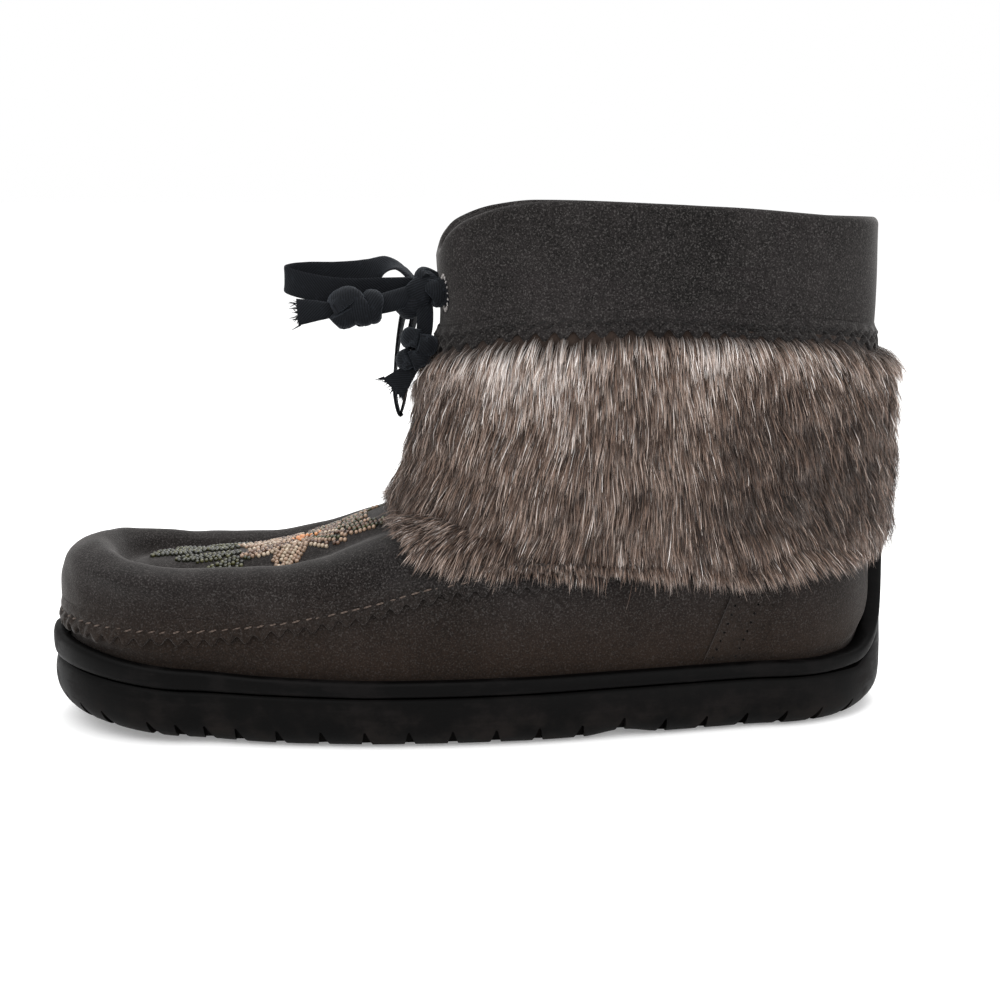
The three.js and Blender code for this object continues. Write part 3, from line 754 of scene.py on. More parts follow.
# %% [markdown]
# ## The rubber shell
# Tread, wall and heel tab are one moulding. Its section runs in under the foot, round the tread's corner
# and up to a groove, and at the heel the wall climbs into a tab. Triangular notches grip at the edge.
# A single notch is a cube whose top is drawn together, copied round the sole and cut out in one go, and
# shallow bars are cut across the tread the same way.

# %% Shell, notches and bead
def sole_rings(around=300):
    """The shell's section round the boot: under the foot, up the wall and back in over the footbed."""
    way, side = ways_round(around)
    at = section(way, side)
    groove = rim_edge(way, -1) - GAP
    tab = TAB.at("top", way)
    top, lean = groove + tab, 0.04 * tab
    reach = at.reach
    x_edge = at.x + at.out_x * (reach - 4)
    tread = SOLE.at("tread", x_edge)
    inside = reach - at.read("footIn") - 1.5
    wall = np.minimum(tread + 9, top - 3)
    knots = [(reach - 9, tread), (reach - 4.2, tread + 0.5), (reach - 1.2, tread + 3.8), (reach, wall),
             (reach - 0.7 - lean, top - 1.1), (reach - 1.4 - lean, top)]
    curve, _ = through(np.stack([np.stack(knot, -1) for knot in knots], 1), np.linspace(0, 1, 22))
    zero = 0 * reach
    under = SOLE.at("tread", at.x)
    before = np.stack([np.stack([zero, under], -1), np.stack([reach - 20, tread], -1)], 1)
    after = np.stack([np.stack([inside, top], -1), np.stack([zero, groove], -1)], 1)
    outline = np.concatenate([before, curve, after], 1)
    return on_section(at, outline[..., 0], outline[..., 1]).transpose(1, 0, 2)


def bead_rings(corners=20):
    """The rim bead, swept round the boot and over the heel tab, with softly squared sides."""
    steps = np.concatenate([np.linspace(RIM.keys[-1], 291, 60), np.linspace(288, 0, 150)])
    step = np.concatenate([steps, steps[1:-1][::-1]])
    side = np.repeat([-1.0, 1.0], [len(steps), len(steps) - 2])
    at = section(RIM.at("way", step), side)
    depth, half = at.read("footIn") - GAP, RIM.at("width", step) / 2 - GAP
    height = RIM.at("height", step)
    lean = np.where(step > LEVEL_RIM, 0.025 * (height - RIM.at("height", LEVEL_RIM)), 0)
    middle = on_section(at, at.reach + 0.3 - lean - depth / 2, height)
    run = np.roll(middle, -1, 0) - np.roll(middle, 1, 0)
    outward = np.stack([at.out_x, at.out_y, 0 * at.out_x], -1)
    across = np.cross(run, outward)
    across /= np.linalg.norm(across, axis=-1, keepdims=True)
    rings = []
    for angle in np.linspace(0, 2 * np.pi, corners, endpoint=False):
        a, b = (np.sign(v) * abs(v) ** 0.62 for v in (np.cos(angle), np.sin(angle)))
        rings.append(middle + outward * (a * depth / 2)[:, None] + across * (b * half)[:, None])
    return np.stack(rings, 1)


def joined(name, pieces):
    """Several objects as one."""
    deselect()
    for piece in pieces:
        piece.select_set(True)
    bpy.context.view_layer.objects.active = pieces[0]
    bpy.ops.object.join()
    pieces[0].name = name
    pieces[0].data.name = name
    return pieces[0]


def primitive(name, material):
    """The primitive just added, named, with its material."""
    made = bpy.context.active_object
    made.name = name
    made.data.name = name
    made.data.materials.clear()
    made.data.materials.append(material)
    return made


def copies(name, model, places):
    """The model copied to many 4x4 places, in one mesh; the model is used up."""
    base = np.array([v.co for v in model.data.vertices])
    faces = [tuple(face.vertices) for face in model.data.polygons]
    stack = np.array([np.array(place) for place in places])
    points = np.einsum("nij,vj->nvi", stack[:, :3, :3], base) + stack[:, None, :3, 3]
    mesh = bpy.data.meshes.new(name)
    every = [tuple(i + k * len(base) for i in face) for k in range(len(places)) for face in faces]
    mesh.from_pydata(points.reshape(-1, 3).tolist(), [], every)
    made = linked(name, mesh)
    for slot in model.data.materials:
        mesh.materials.append(slot)
    bpy.data.objects.remove(model)
    return smoothed(made, 45)


def frame_at(place, along, outward):
    """A 4x4 place: X along, Z outward, all in the frame's metres."""
    x = Vector(along).normalized()
    z = (Vector(outward) - Vector(outward).dot(x) * x).normalized()
    y = z.cross(x)
    turn = Matrix((x, y, z)).transposed().to_4x4()
    return Matrix.Translation(at_vector(place)) @ turn


# A notch's half length at the tread and at its point, how far it reaches down and up, half its depth into
# the wall, and how far its point leans, all in millimetres; then where the notches are, toe to heel.
NOTCH = SimpleNamespace(foot=2.8, point=0.3, down=3.0, up=5.5, deep=6.2, lean=2.4)
NOTCH_WAYS = [18, 27, 36, 52, 61, 70, 80, *np.linspace(93, 301, 16)]


def notch_places():
    """Places of the notches: X forward along the edge, leaning away from the middle, and Z outward."""
    for way in NOTCH_WAYS:
        for side in (-1.0, 1.0):
            at = section([way], side)
            foot = on_section(at, at.reach[:, None] - 1, lambda x: SOLE.at("tread", x))[0, 0]
            lean = NOTCH.lean * np.clip(foot[0] / 100, -1, 1) / NOTCH.up
            out = np.array([at.out_x[0], at.out_y[0], 0])
            along = np.array([-out[1], out[0], 0]) * (1 if -out[1] > 0 else -1)
            place = frame_at(foot, along, out)
            rising = 1 if place.col[1].z > 0 else -1
            yield place @ Matrix(((1, lean, 0, 0), (0, rising, 0, 0), (0, 0, 1, 0), (0, 0, 0, 1)))


deselect()
bpy.ops.mesh.primitive_cube_add(size=0.001)
notch = primitive("notch", RUBBER)
for vertex in notch.data.vertices:
    x, y, z = (2 * 1000 * v for v in vertex.co)
    half_long, rise = (NOTCH.point, NOTCH.up) if y > 0 else (NOTCH.foot, -NOTCH.down)
    vertex.co = Vector((x * half_long, rise, z * NOTCH.deep)) / 1000
notch_cutter = turned_out(copies("notches", notch, list(notch_places())))

outsole = closed_form("outsole_rubber", sole_rings(), RUBBER)
foot_clear = closed_form("foot_room", foot_rings(GAP, lambda x: SOLE.at("bed", x), 200, 40), RUBBER)
combine(outsole, foot_clear, "DIFFERENCE")
combine(outsole, notch_cutter, "DIFFERENCE")

# Half the length along the boot, across it and upwards of a groove between the tread's bars.
BAR = (1.1, 25, 1.0)
deselect()
bpy.ops.mesh.primitive_cube_add(size=0.001)
bar = primitive("tread_bar", RUBBER)
for vertex in bar.data.vertices:
    vertex.co = [2 * half * v for half, v in zip(BAR, vertex.co)]
bars = []
for x in np.linspace(-119, 128, 32):
    low = float(SOLE.at("tread", x))
    slope = float(SOLE.at("tread", x + 1) - SOLE.at("tread", x - 1)) / 2
    bars.append(frame_at([x, 0.5, low], (0, 1, 0), (-slope, 0, 1)) @ Matrix.Rotation(np.pi / 2, 4, "Z"))
combine(outsole, turned_out(copies("tread_bars", bar, bars)), "DIFFERENCE")
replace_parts(smoothed(outsole, 35), "outsole")

bead_points = bead_rings()
bead = closed_form("welt_rubber", np.concatenate([bead_points, bead_points[:1]]), RUBBER)
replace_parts(bead, "welt")
print("outsole:", count_of(outsole), "triangles; bead:", count_of(bead))

# %% [markdown]
# ## The insole
# A fleece-topped insole lies on the rubber's footbed. It is seen only down the shaft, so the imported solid
# keeps its shape and takes the fleece finish.

# %% Insole finish
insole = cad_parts["insole"]
insole.data.materials.clear()
insole.data.materials.append(FLEECE)
print("insole:", count_of(insole), "triangles")

# %% [markdown]
# ## The pinked seam
# The upper leather is cut with pinking shears, laid over the lower one and stitched down with a slanted
# overcast, so its zigzag edge stands a little proud and the stitches pull it in. A strip is laid over the
# foot from just above the stitches to the teeth: it is thickest at the edge, pressed in along the thread
# and worked to nothing at its top, where it becomes one with the skin.

# %% Strip with teeth
def run_of(line):
    """The way along a line of points to each of them, in millimetres."""
    return np.concatenate([[0], np.cumsum(np.linalg.norm(np.diff(line, axis=0), axis=1))])


def run_round(limit, spacing):
    """Ways and sides along the pinked seam, evenly spaced, from one flank round the toe to the other."""
    signed = np.linspace(-limit, limit, 900)
    way, side = np.abs(signed), np.where(signed < 0, -1.0, 1.0)
    length = run_of(foot_at_height(way, side, FOOT.at("seam", way)[:, None])[:, 0])
    count = int(length[-1] / spacing)
    even = np.interp(np.linspace(0, length[-1], count), length, signed)
    return np.abs(even), np.where(even < 0, -1.0, 1.0), np.linspace(0, length[-1], count)


def zigzag(distance, pitch):
    """Teeth of a pinked edge: -1 at a tip and 1 in a notch, slightly rounded."""
    wave = 2 * np.abs(((distance / pitch) % 1) - 0.5)
    return np.sin(np.pi / 2 * (2 * np.clip(wave * 1.06 - 0.03, 0, 1) - 1))


TOOTH = 5.6
SEAM_END = 178
ABOVE, BELOW, TOOTH_HALF = 4.2, 3.5, 1.15
way, side, distance = run_round(SEAM_END, TOOTH / 10)
# From the strip's top to its teeth: how far down each line of points is, and how proud it stands.
share = np.array([0, 0.18, 0.36, 0.44, 0.5, 0.56, 0.7, 0.85, 0.96, 1.0])
rise = np.array([0.12, 0.5, 0.8, 0.66, 0.5, 0.66, 1.15, 1.35, 1.3, 1.05])
along_seam = distance[:, None]
cut = 0.3 * np.sin(along_seam / 7.3) + 0.25 * np.sin(along_seam / 2.9)
drop = -ABOVE + share * (ABOVE + BELOW - TOOTH_HALF * zigzag(along_seam, TOOTH) + cut)
pucker = 0.12 * np.sin(2 * np.pi * along_seam / 3.6) + 0.2 * np.sin(2 * np.pi * along_seam / 23)
down_skin = FOOT.at("seam", way)[:, None] - drop
top_skin = foot_at_height(way, side, down_skin, rise + pucker * ease(share, 0.3, 0.8))
under_skin = foot_at_height(way, side, down_skin, np.linspace(0.02, 0.1, len(share)))
strip = plate("seam_strip", top_skin, under_skin)

# %% Slanted stitches
def skin_frame(way, side, height, grow=0.0):
    """Points on the foot, and there the directions along the boot, up the skin and outward."""
    step = np.array([-0.6, 0, 0.6])
    near = foot_at_height(way, side, height[:, None] + step, grow)
    ahead = foot_at_height(way + 0.6, side, height[:, None], grow)[:, 0]
    behind = foot_at_height(np.maximum(way - 0.6, 0), side, height[:, None], grow)[:, 0]
    up = near[:, 2] - near[:, 0]
    along = (ahead - behind) * np.array(side)[:, None]
    along /= np.linalg.norm(along, axis=1, keepdims=True)
    up /= np.linalg.norm(up, axis=1, keepdims=True)
    outward = np.cross(along, up)
    flip = np.sign(((near[:, 1] - (0, 0, 30)) * outward * (1, 1, 0)).sum(1))
    return near[:, 1], along, up, outward * flip[:, None]


def ball(name, material, segments, rings, radius):
    """A sphere whose poles lie along X, with its radius in metres."""
    deselect()
    bpy.ops.mesh.primitive_uv_sphere_add(segments=segments, ring_count=rings, radius=radius,
                                         rotation=(0, np.pi / 2, 0))
    made = primitive(name, material)
    bpy.ops.object.transform_apply(rotation=True)
    return made


def sew(name, material, length, width, points, directions, outwards):
    """Stitches at all these points: balls drawn out along X, their ends drawn down into the leather."""
    model = ball("stitch", material, 6, 7, 0.0005)
    for vertex in model.data.vertices:
        x, y, z = (2000 * v for v in vertex.co)
        bow = 0.35 * width * (1 - x * x)
        vertex.co = (0.0005 * length * x, 0.0005 * width * y, 0.00042 * width * z + 0.001 * bow)
    return copies(name, model, [frame_at(*told) for told in zip(points, directions, outwards)])


STITCH_SPACING = 3.9
way, side, _ = run_round(SEAM_END - 6, STITCH_SPACING)
place, along, up, outward = skin_frame(way, side, FOOT.at("seam", way), 0.55)
sew("seam_stitches", THREAD, 2.9, 0.6, place, along * 0.9 - up * 0.3, outward)
print("strip:", count_of(strip), "triangles;", len(way), "stitches")

# %% [markdown]
# ## The heel counter
# A second layer of suede wraps the heel, its front edge slanting up under the fur, with two rows of needle
# holes behind it. It is a shell just over the skin, thinned where it goes down behind the rubber, and the
# holes are punched through it with one boolean. A flattened dark lens at the bottom of each hole is painted
# shade inside it.

# %% Heel panel with needle holes
def panel_way(height):
    """Where the panel's front edge is, at a height."""
    return QUARTER + SPINE - MIDDLE + np.interp(height, [18, 38, 80], [74, 81.2, 97])


# The panel's thickness and the way at which its two halves end; the rows of holes behind its edge, the
# rise from hole to hole, and a hole's radius in metres.
PANEL = 0.95
PANEL_END = 311
HOLE_ROWS = (2.6, 10.6)
HOLE_STEP = 3.01
HOLE = 0.00052
heights = np.linspace(17, 72, 44)
start = panel_way(heights)[:, None]
columns = (start + (PANEL_END - start) * np.linspace(0, 1, 90) ** 0.9).T
bead_top = RIM.columns["height"] + RIM.columns["width"] / 2
panels, holes = [], []
for name, side_sign in (("outer", -1.0), ("inner", 1.0)):
    outside, inside = [], []
    for way in columns:
        side = np.full(len(way), side_sign)
        above = heights - np.interp(way, RIM.columns["way"], bead_top)
        lift = PANEL * (0.18 + 0.82 * ease(above, -0.6, 2.6))
        outside.append(foot_at_height(way, side, heights[:, None], lift[:, None])[:, 0])
        inside.append(foot_at_height(way, side, heights[:, None], 0.03)[:, 0])
    panel = plate("heel_panel_" + name, np.stack(outside, 1), np.stack(inside, 1))
    places = []
    for behind in HOLE_ROWS:
        z = np.arange(24.5, 54, HOLE_STEP)
        place, along, up, outward = skin_frame(panel_way(z) + behind, np.full(len(z), side_sign), z, 0.6)
        places += [frame_at(*told) for told in zip(place, along, outward)]
    deselect()
    # The cutters carry the dark thread finish, as painted shade for the holes' walls.
    bpy.ops.mesh.primitive_cylinder_add(vertices=10, radius=HOLE, depth=0.003)
    needle = primitive("needle", DARK_THREAD_AND_SHADE)
    combine(panel, turned_out(copies("needles", needle, places)), "DIFFERENCE")
    panels.append(smoothed(panel, 40))
    holes += places

# A flattened dark lens at the bottom of each hole is painted shade inside it.
deselect()
bpy.ops.mesh.primitive_uv_sphere_add(segments=8, ring_count=5, radius=HOLE)
hole_shade = primitive("needle_hole_shade_lens", DARK_THREAD_AND_SHADE)
for vertex in hole_shade.data.vertices:
    vertex.co.z = vertex.co.z * 0.5 - 0.0005
copies("needle_holes", hole_shade, holes)
print("heel panels:", [count_of(panel) for panel in panels], "holes:", len(holes))

# %% [markdown]
# ## The collar
# The shaft's top is folded over into a casing for the tape. Its lower edge is pinked like the seam and
# lies on the fur, with a scalloped row of stitches above the teeth, and inside the boot the fold ends in a
# plain hem. Both are thin shells over the shaft.

# %% Pinked strip and scalloped stitches
COLLAR_FOOT = Table("x z", [[-12, 124.5], [-4, 126.5], [18, 131.2], [60, 132.6], [92, 130.2], [118, 128.2],
                            [140, 125.4]])


def even_angles(height, spacing):
    """Angles round the shaft, evenly spaced along its skin, and the spacing that closes the ring."""
    angle = np.linspace(0, 2 * np.pi, 1201)
    length = run_of(shaft_skin(angle, height))
    count = round(length[-1] / spacing)
    even = np.arange(count) / count * length[-1]
    return np.interp(even, length, angle), even


def collar_foot(angle):
    """The height of the teeth's middle line."""
    return COLLAR_FOOT.at("z", shaft_skin(angle, COLLAR_LINE)[:, 0])


def round_shaft(angle, z, grow):
    """Points on the shaft, and there the directions round it and outward."""
    ahead = shaft_skin(angle + 0.02, z, grow) - shaft_skin(angle - 0.02, z, grow)
    ahead /= np.linalg.norm(ahead, axis=1, keepdims=True)
    return shaft_skin(angle, z, grow), ahead, shaft_skin(angle, z, grow) - shaft_skin(angle, z, grow - 1)


# The height at which angles are spaced, the length of a tooth, and the strip's height above the teeth.
COLLAR_LINE = 128.0
COLLAR_TOOTH = 6.0
COLLAR_STRIP = 7.5
teeth = len(even_angles(COLLAR_LINE, COLLAR_TOOTH)[0])
angle, distance = even_angles(COLLAR_LINE, COLLAR_TOOTH / 10)
pitch = distance[-1] / (teeth - 1 / 10)
share = np.array([0, 0.2, 0.4, 0.52, 0.6, 0.68, 0.8, 0.93, 1.0])[:, None]
rise = np.array([0.1, 0.4, 0.95, 0.6, 0.35, 0.75, 1.25, 1.3, 1.05])[:, None]
height = collar_foot(angle) + COLLAR_STRIP - share * (COLLAR_STRIP + 0.2 - 1.4 * zigzag(distance, pitch))
wave = 0.3 * np.sin(2 * np.pi * distance / 38) + 0.16 * np.sin(2 * np.pi * distance / 15)
out_skin = shaft_skin(angle, height, rise + 0.2 + 0.4 * ease(share, 0, 0.4) + wave * share)
in_skin = shaft_skin(angle, height, -0.3 + 0 * rise)
collar_strip = plate("collar_strip", out_skin, in_skin, wrap=True)

angle, _ = even_angles(COLLAR_LINE, COLLAR_TOOTH / 2)
upper_one = np.arange(len(angle)) % 2 == 0
place, ahead, out = round_shaft(angle, collar_foot(angle) + np.where(upper_one, 4.4, 3.2), 1.25)
ahead[:, 2] += np.where(upper_one, 0.35, -0.35)
sew("collar_stitches", DARK_THREAD_AND_SHADE, 2.9, 0.62, place, ahead, out)

# %% Inner hem
# Steps down from the collar's edge, and how far inward the hem is there.
HEM = [(-0.9, -2.5), (-1.6, -3.1), (-3, -3.5), (-6, -3.7), (-10, -3.8), (-13.5, -3.8), (-15, -3.5)]
angle = np.linspace(0, 2 * np.pi, 220, endpoint=False)
edge = collar_height(angle)
ripple = 0.2 * np.sin(9 * angle) - 0.15
wall = np.stack([shaft_skin(angle, edge + down, inward + ripple) for down, inward in HEM])
back = np.stack([shaft_skin(angle, edge + down, -1.9) for down, _ in HEM])
collar_hem = plate("collar_hem", back, wall, wrap=True)
angle, _ = even_angles(160.0, 3.4)
place, ahead, out = round_shaft(angle, collar_height(angle) - 12.2, -3.95)
sew("hem_stitches", DARK_THREAD_AND_SHADE, 2.6, 0.6, place, ahead, -out)

# %% Buttonhole stitches round the slits
loops = []
front_angle = np.linspace(np.pi - 0.9, np.pi + 0.9, 400)
for side_sign in (-1, 1):
    for turn in np.linspace(0, 2 * np.pi, 18, endpoint=False):
        front = shaft_skin(front_angle, SLIT.z + 5.6 * np.sin(turn), 0.1)
        near = front[np.argmin(np.abs(front[:, 1] - side_sign * SLIT.y - 2.1 * np.cos(turn)))]
        loops.append((near, (0, np.cos(turn), np.sin(turn)), (-1, 0.9 * side_sign, 0)))
sew("slit_stitches", PALE_THREAD, 1.7, 0.55, *zip(*loops))
print("collar strip:", count_of(collar_strip), "triangles; teeth:", teeth, "hem:", count_of(collar_hem))

# %% [markdown]
# ## The fur
# Rabbit fur is a dense dark undercoat with longer guard hairs, each dark at the root, tan or grey along its
# length and pale at the tip. Brushed downwards it falls in soft pointed clumps. Blender's hair would not
# leave the program as a mesh, so every hair is a narrow blade of four triangles, rooted on a dark body just
# over the suede. The hide under it hangs from the shaft as a skirt, wide enough to clear the foot's sides.
# Blades share their clump's tip and tone, and their own UV map holds the tone across and the way from root
# to tip along.

# %% Undercoat
# The undercoat's dark colour is partly its own and partly painted shade: it stands for the shadow among the
# hairs' roots and the dark line under the collar's teeth.
coat = Finish("undercoat", {"Specular IOR Level": 0.05, "Sheen Weight": 0.2})
UNDERCOAT_AND_SHADE = coat.finish(coat.blend(coat.noise(3, 4), (0.008, 0.0055, 0.0045), (0.034, 0.023, 0.018)), 1.0,
                        coat.noise(0.9, 3), 0.0006, 0.6)
FUR_OUTLINE = [
    (-23.5, 68), (-21, 79), (-18.5, 94), (-16, 118), (-9, 127.5), (20, 133), (64, 134.2), (110, 131.6),
    (152, 127), (152, 62), (131, 59), (102, 57), (58, 56), (11, 58), (-8, 60), (-18, 64),
]
FUR_TOP = Table("x z", FUR_OUTLINE[3:9])
band = np.array([[(x, y, z) for x, z in FUR_OUTLINE] for y in (-90, 90)])


def skirt_rings(grow, low=50, high=106, around=140, levels=24):
    """The cuff's hide, hanging as a skirt from the shaft over the foot's sides."""
    angle = np.linspace(0, 2 * np.pi, around, endpoint=False)
    z = np.linspace(low, high, levels)[:, None]
    rings = shaft_skin(angle, z, grow)
    way = QUARTER + SPINE - MIDDLE + rings[0, :, 0]
    side = np.where(rings[0, :, 1] < 0, -1.0, 1.0)
    foot = np.abs(foot_at_height(way, side, [FUR_FOOT], grow)[:, 0, 1])
    wider = np.maximum(foot / (SHAFT.at("half", FUR_FOOT) + grow), 1) - 1
    rings[..., 1] *= 1 + wider * (1 - ease(z, 52, high))
    return rings


def coat_form(name, rings):
    """A closed form of undercoat, capped at both ends."""
    return closed_form(name, rings, UNDERCOAT_AND_SHADE, capped=True)


# The height at which the fur's foot is measured, and how far the hide's two sides are from the suede.
FUR_FOOT = 57
HIDE_OUTSIDE = 2.4
HIDE_INSIDE = 0.35
undercoat = closed_form("fur_undercoat", foot_rings(HIDE_OUTSIDE, lambda x: 30 + 0 * x, 200, 44), UNDERCOAT_AND_SHADE)
combine(undercoat, coat_form("fur_shaft", shaft_rings(HIDE_OUTSIDE, 20, 140, 40)), "UNION")
combine(undercoat, coat_form("fur_skirt", skirt_rings(HIDE_OUTSIDE)), "UNION")
combine(undercoat, coat_form("fur_band", band), "INTERSECT")
foot_space = foot_rings(HIDE_INSIDE, above_bed, 200, 44, uneven=UNEVEN)
combine(undercoat, closed_form("foot_space", foot_space, UNDERCOAT_AND_SHADE), "DIFFERENCE")
combine(undercoat, coat_form("shaft_space", shaft_rings(HIDE_INSIDE, 20, 140, 40)), "DIFFERENCE")
for vertex in undercoat.data.vertices:
    x, y, z = 1000 * np.array(vertex.co) + SHIFT
    tuck = 1.6 * ease(z, FUR_TOP.at("z", x) - 6, FUR_TOP.at("z", x) - 1.5)
    inward = np.array([64 - x, -y, 0]) / max(np.hypot(64 - x, y), 1)
    vertex.co = into_frame([x, y, z] + tuck * inward)
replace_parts(smoothed(undercoat, 60), "fur_cuff")

# %% Roots of the hairs
HAIRS = 170000
FUR_PIECES = 4
random = np.random.default_rng(11)
mesh = undercoat.data
mesh.calc_loop_triangles()
corners = np.empty(3 * len(mesh.loop_triangles), int)
mesh.loop_triangles.foreach_get("vertices", corners)
triangles = on_draft(mesh)[corners.reshape(-1, 3)]
normal = np.cross(triangles[:, 1] - triangles[:, 0], triangles[:, 2] - triangles[:, 0])
area = np.linalg.norm(normal, axis=1) / 2
normal /= 2 * area[:, None] + 1e-12
middle = triangles.mean(1)


def from_core(points):
    """The way to each point from the upright core of the leg, whose section is a line along the boot."""
    return points - np.stack([np.clip(points[:, 0], 20, 105), 0 * points[:, 1], points[:, 2]], 1)


reach = from_core(middle)
outer_side = (reach * normal).sum(1) > 0.2 * np.linalg.norm(reach, axis=1)
ledge = (normal[:, 2] > 0.55) & (middle[:, 2] < 90)
under_strip = middle[:, 2] > FUR_TOP.at("z", middle[:, 0]) - 2.2
usable = (outer_side & (np.abs(normal[:, 2]) < 0.9) | ledge) & (middle[:, 2] > 57) & ~under_strip
weight = np.where(usable, area, 0)
weight /= weight.sum()


def scatter(count):
    """Random points over the undercoat's outside, with their normals."""
    pick = random.choice(len(weight), count, p=weight)
    u, v = random.random((2, count))
    over = u + v > 1
    u, v = np.where(over, 1 - u, u)[:, None], np.where(over, 1 - v, v)[:, None]
    a, b, c = triangles[pick].transpose(1, 0, 2)
    return a + u * (b - a) + v * (c - a), normal[pick]


root, out = scatter(HAIRS)
clump_root, _ = scatter(HAIRS // 24)
tuft_root, _ = scatter(HAIRS // 420)


def nearest(points, centres):
    """For each point, the index of the nearest centre."""
    best = np.empty(len(points), int)
    for start in range(0, len(points), 4000):
        part = points[start:start + 4000]
        away = (part ** 2).sum(1)[:, None] - 2 * part @ centres.T + (centres ** 2).sum(1)
        best[start:start + 4000] = away.argmin(1)
    return best


clump, tuft = nearest(root, clump_root), nearest(root, tuft_root)
print("undercoat:", count_of(undercoat), "triangles; hairs:", HAIRS, "clumps:", len(clump_root))

# %% [markdown]
# ## Combing and colouring
# The fur is combed down, forward-down over the instep and back-down towards the heel. Each hair leaves the
# skin at a slant and curves down to lie along its neighbours. Its tone follows the pelt: nearly white under
# the collar, grey-brown below, a darker saddle over the heel and a warm patch at the front.

# %% Directions, lengths and tones
def each():
    """A random number for each hair."""
    return random.normal(size=HAIRS)


def each_clump():
    """A random number for each clump, handed to its hairs."""
    return random.normal(size=len(clump_root))[clump]


def unit(vectors):
    """The same directions, one long."""
    return vectors / (np.linalg.norm(vectors, axis=1, keepdims=True) + 1e-9)


# Which way the hairs fall: forward at the instep, back over the heel, and outward on a ledge.
x, z = root[:, 0], root[:, 2]
on_ledge = ease(out[:, 2], 0.5, 0.9)
lean = np.interp(x, [-24, -8, 25, 75, 110, 145], [-0.52, -0.42, -0.24, 0.2, 0.55, 0.5])
lean = lean * np.interp(z, [55, 80, 130], [1.15, 1.0, 0.55])
lean += 0.13 * swell(root, 26, 21) + 0.09 * each()
lean += 0.06 * each_clump()
sideways = 0.08 * each() + 0.05 * each_clump()
down = np.stack([lean, sideways, -np.ones(HAIRS)], 1)
down += 1.5 * on_ledge[:, None] * unit(from_core(root) * (1, 1, 0))
down = unit(down - (down * out).sum(1)[:, None] * out)

# How long they are, shorter under the collar, at the fur's foot and on a ledge; and how far they stand off.
length = 12.6 + 2.2 * each() + 1.2 * random.normal(size=len(tuft_root))[tuft]
length = np.clip(length, 7, 20) * np.interp(z, [57, 72, 118, 131], [0.78, 1, 1, 0.8])
length *= 1 - 0.2 * ease(x, 105, 135) * (1 - ease(z, 62, 76))
length *= 1 - 0.4 * on_ledge
length *= 1 - 0.22 * (1 - ease(x, -8, 14)) * (1 - ease(z, 60, 74))
long_hair = random.random(HAIRS) < 0.02
length = np.where(long_hair, length * 1.25, length)
lift = np.interp(z, [57, 80, 122, 131], [0.3, 0.34, 0.36, 0.5]) + 0.09 * each()
lift *= 1 + 0.7 * ease(x, 112, 143) * (1 - 0.5 * ease(z, 110, 130))
lift = np.clip(lift + 0.07 * each_clump(), 0.04, 0.8)
tip = root + down * length[:, None] + out * (lift * length * 0.62)[:, None]

# A clump's tips draw together, apart from the longest guard hairs.
held = np.maximum(np.bincount(clump, minlength=len(clump_root)), 1)
centre = np.stack([np.bincount(clump, tip[:, axis], len(clump_root)) / held for axis in range(3)], 1)
gather = np.clip(0.34 + 0.2 * each(), 0, 0.92) * ~long_hair
tip += (centre[clump] - tip) * gather[:, None]
bend = out * (lift * length * 0.34)[:, None]

# The pelt's tone, from 0 for the darkest to 1 for the palest.
pelt = np.interp(z, [60, 88, 108, 120, 130], [0.25, 0.26, 0.32, 0.43, 0.56])
saddle = ease(x, 62, 84) * (1 - 0.75 * ease(x, 118, 140)) * ease(z, 66, 80) * (1 - 0.75 * ease(z, 118, 131))
white = np.exp(-((x - 17) / 22) ** 2) * ease(z, 100, 122)
silver = np.exp(-((x - 73) / 7) ** 2) * ease(z, 84, 118)
brown = np.exp(-((x - 52) / 12) ** 2) * ease(z, 96, 116)
warm_front = (1 - ease(x, -14, 12)) * ease(z, 100, 126)
pelt += 0.15 * white + 0.12 * silver - 0.07 * brown - 0.22 * saddle - 0.1 * warm_front
pelt += 0.05 * np.clip(swell(root, 30, 31), -1, 1) + 0.04 * np.clip(swell(root, 13, 32), -1, 1)
own = 0.22 * each() + 0.07 * each_clump()
pale_tip = random.random(HAIRS) < 0.14
tone = np.clip(pelt + own + 0.26 * pale_tip, 0.02, 0.98)
print("hair length, mm:", np.round([length.min(), length.mean(), length.max()], 1))
print("tone:", round(tone.mean(), 2))

# %% Hair finish
hair = Finish("rabbit_fur", {"Specular IOR Level": 0.25, "Sheen Weight": 0.15, "Sheen Roughness": 0.4})
own_map = hair.node("UVMap", {"uv_map": "OFBake"})
across, along = hair.part(own_map, "X"), hair.part(own_map, "Y")
TONES = [
    (0.0, (0.014, 0.008, 0.0056)),
    (0.25, (0.068, 0.039, 0.027)),
    (0.45, (0.19, 0.122, 0.089)),
    (0.68, (0.42, 0.33, 0.28)),
    (1.0, (0.84, 0.79, 0.76)),
]
body = hair.ramp(across, TONES)
rooted = hair.step(along, 0.2, 0.8)
tipped = hair.step(along, 0.72, 0.95)
shade = hair.blend(rooted, hair.blend(0.8, body, (0.012, 0.008, 0.0065)), body)
FUR = hair.finish(hair.blend(0.3 * tipped, shade, (0.48, 0.415, 0.375)), 0.62 - 0.12 * along)


def lay_map(mesh, name, uv):
    """Gives a mesh a UV map, from one pair of numbers for each vertex."""
    layer = mesh.uv_layers.new(name=name)
    order = np.empty(len(mesh.loops), int)
    mesh.loops.foreach_get("vertex_index", order)
    layer.data.foreach_set("uv", uv[order].ravel())


# Where along a hair its two middle pairs of points are, how far the hair is bent there, and its half width.
FIRST, SECOND = 0.34, 0.7
FIRST_BEND, SECOND_BEND = 0.95, 0.78
HALF_WIDTHS = (0.065, 0.12)
TONE_STEP = 0.006


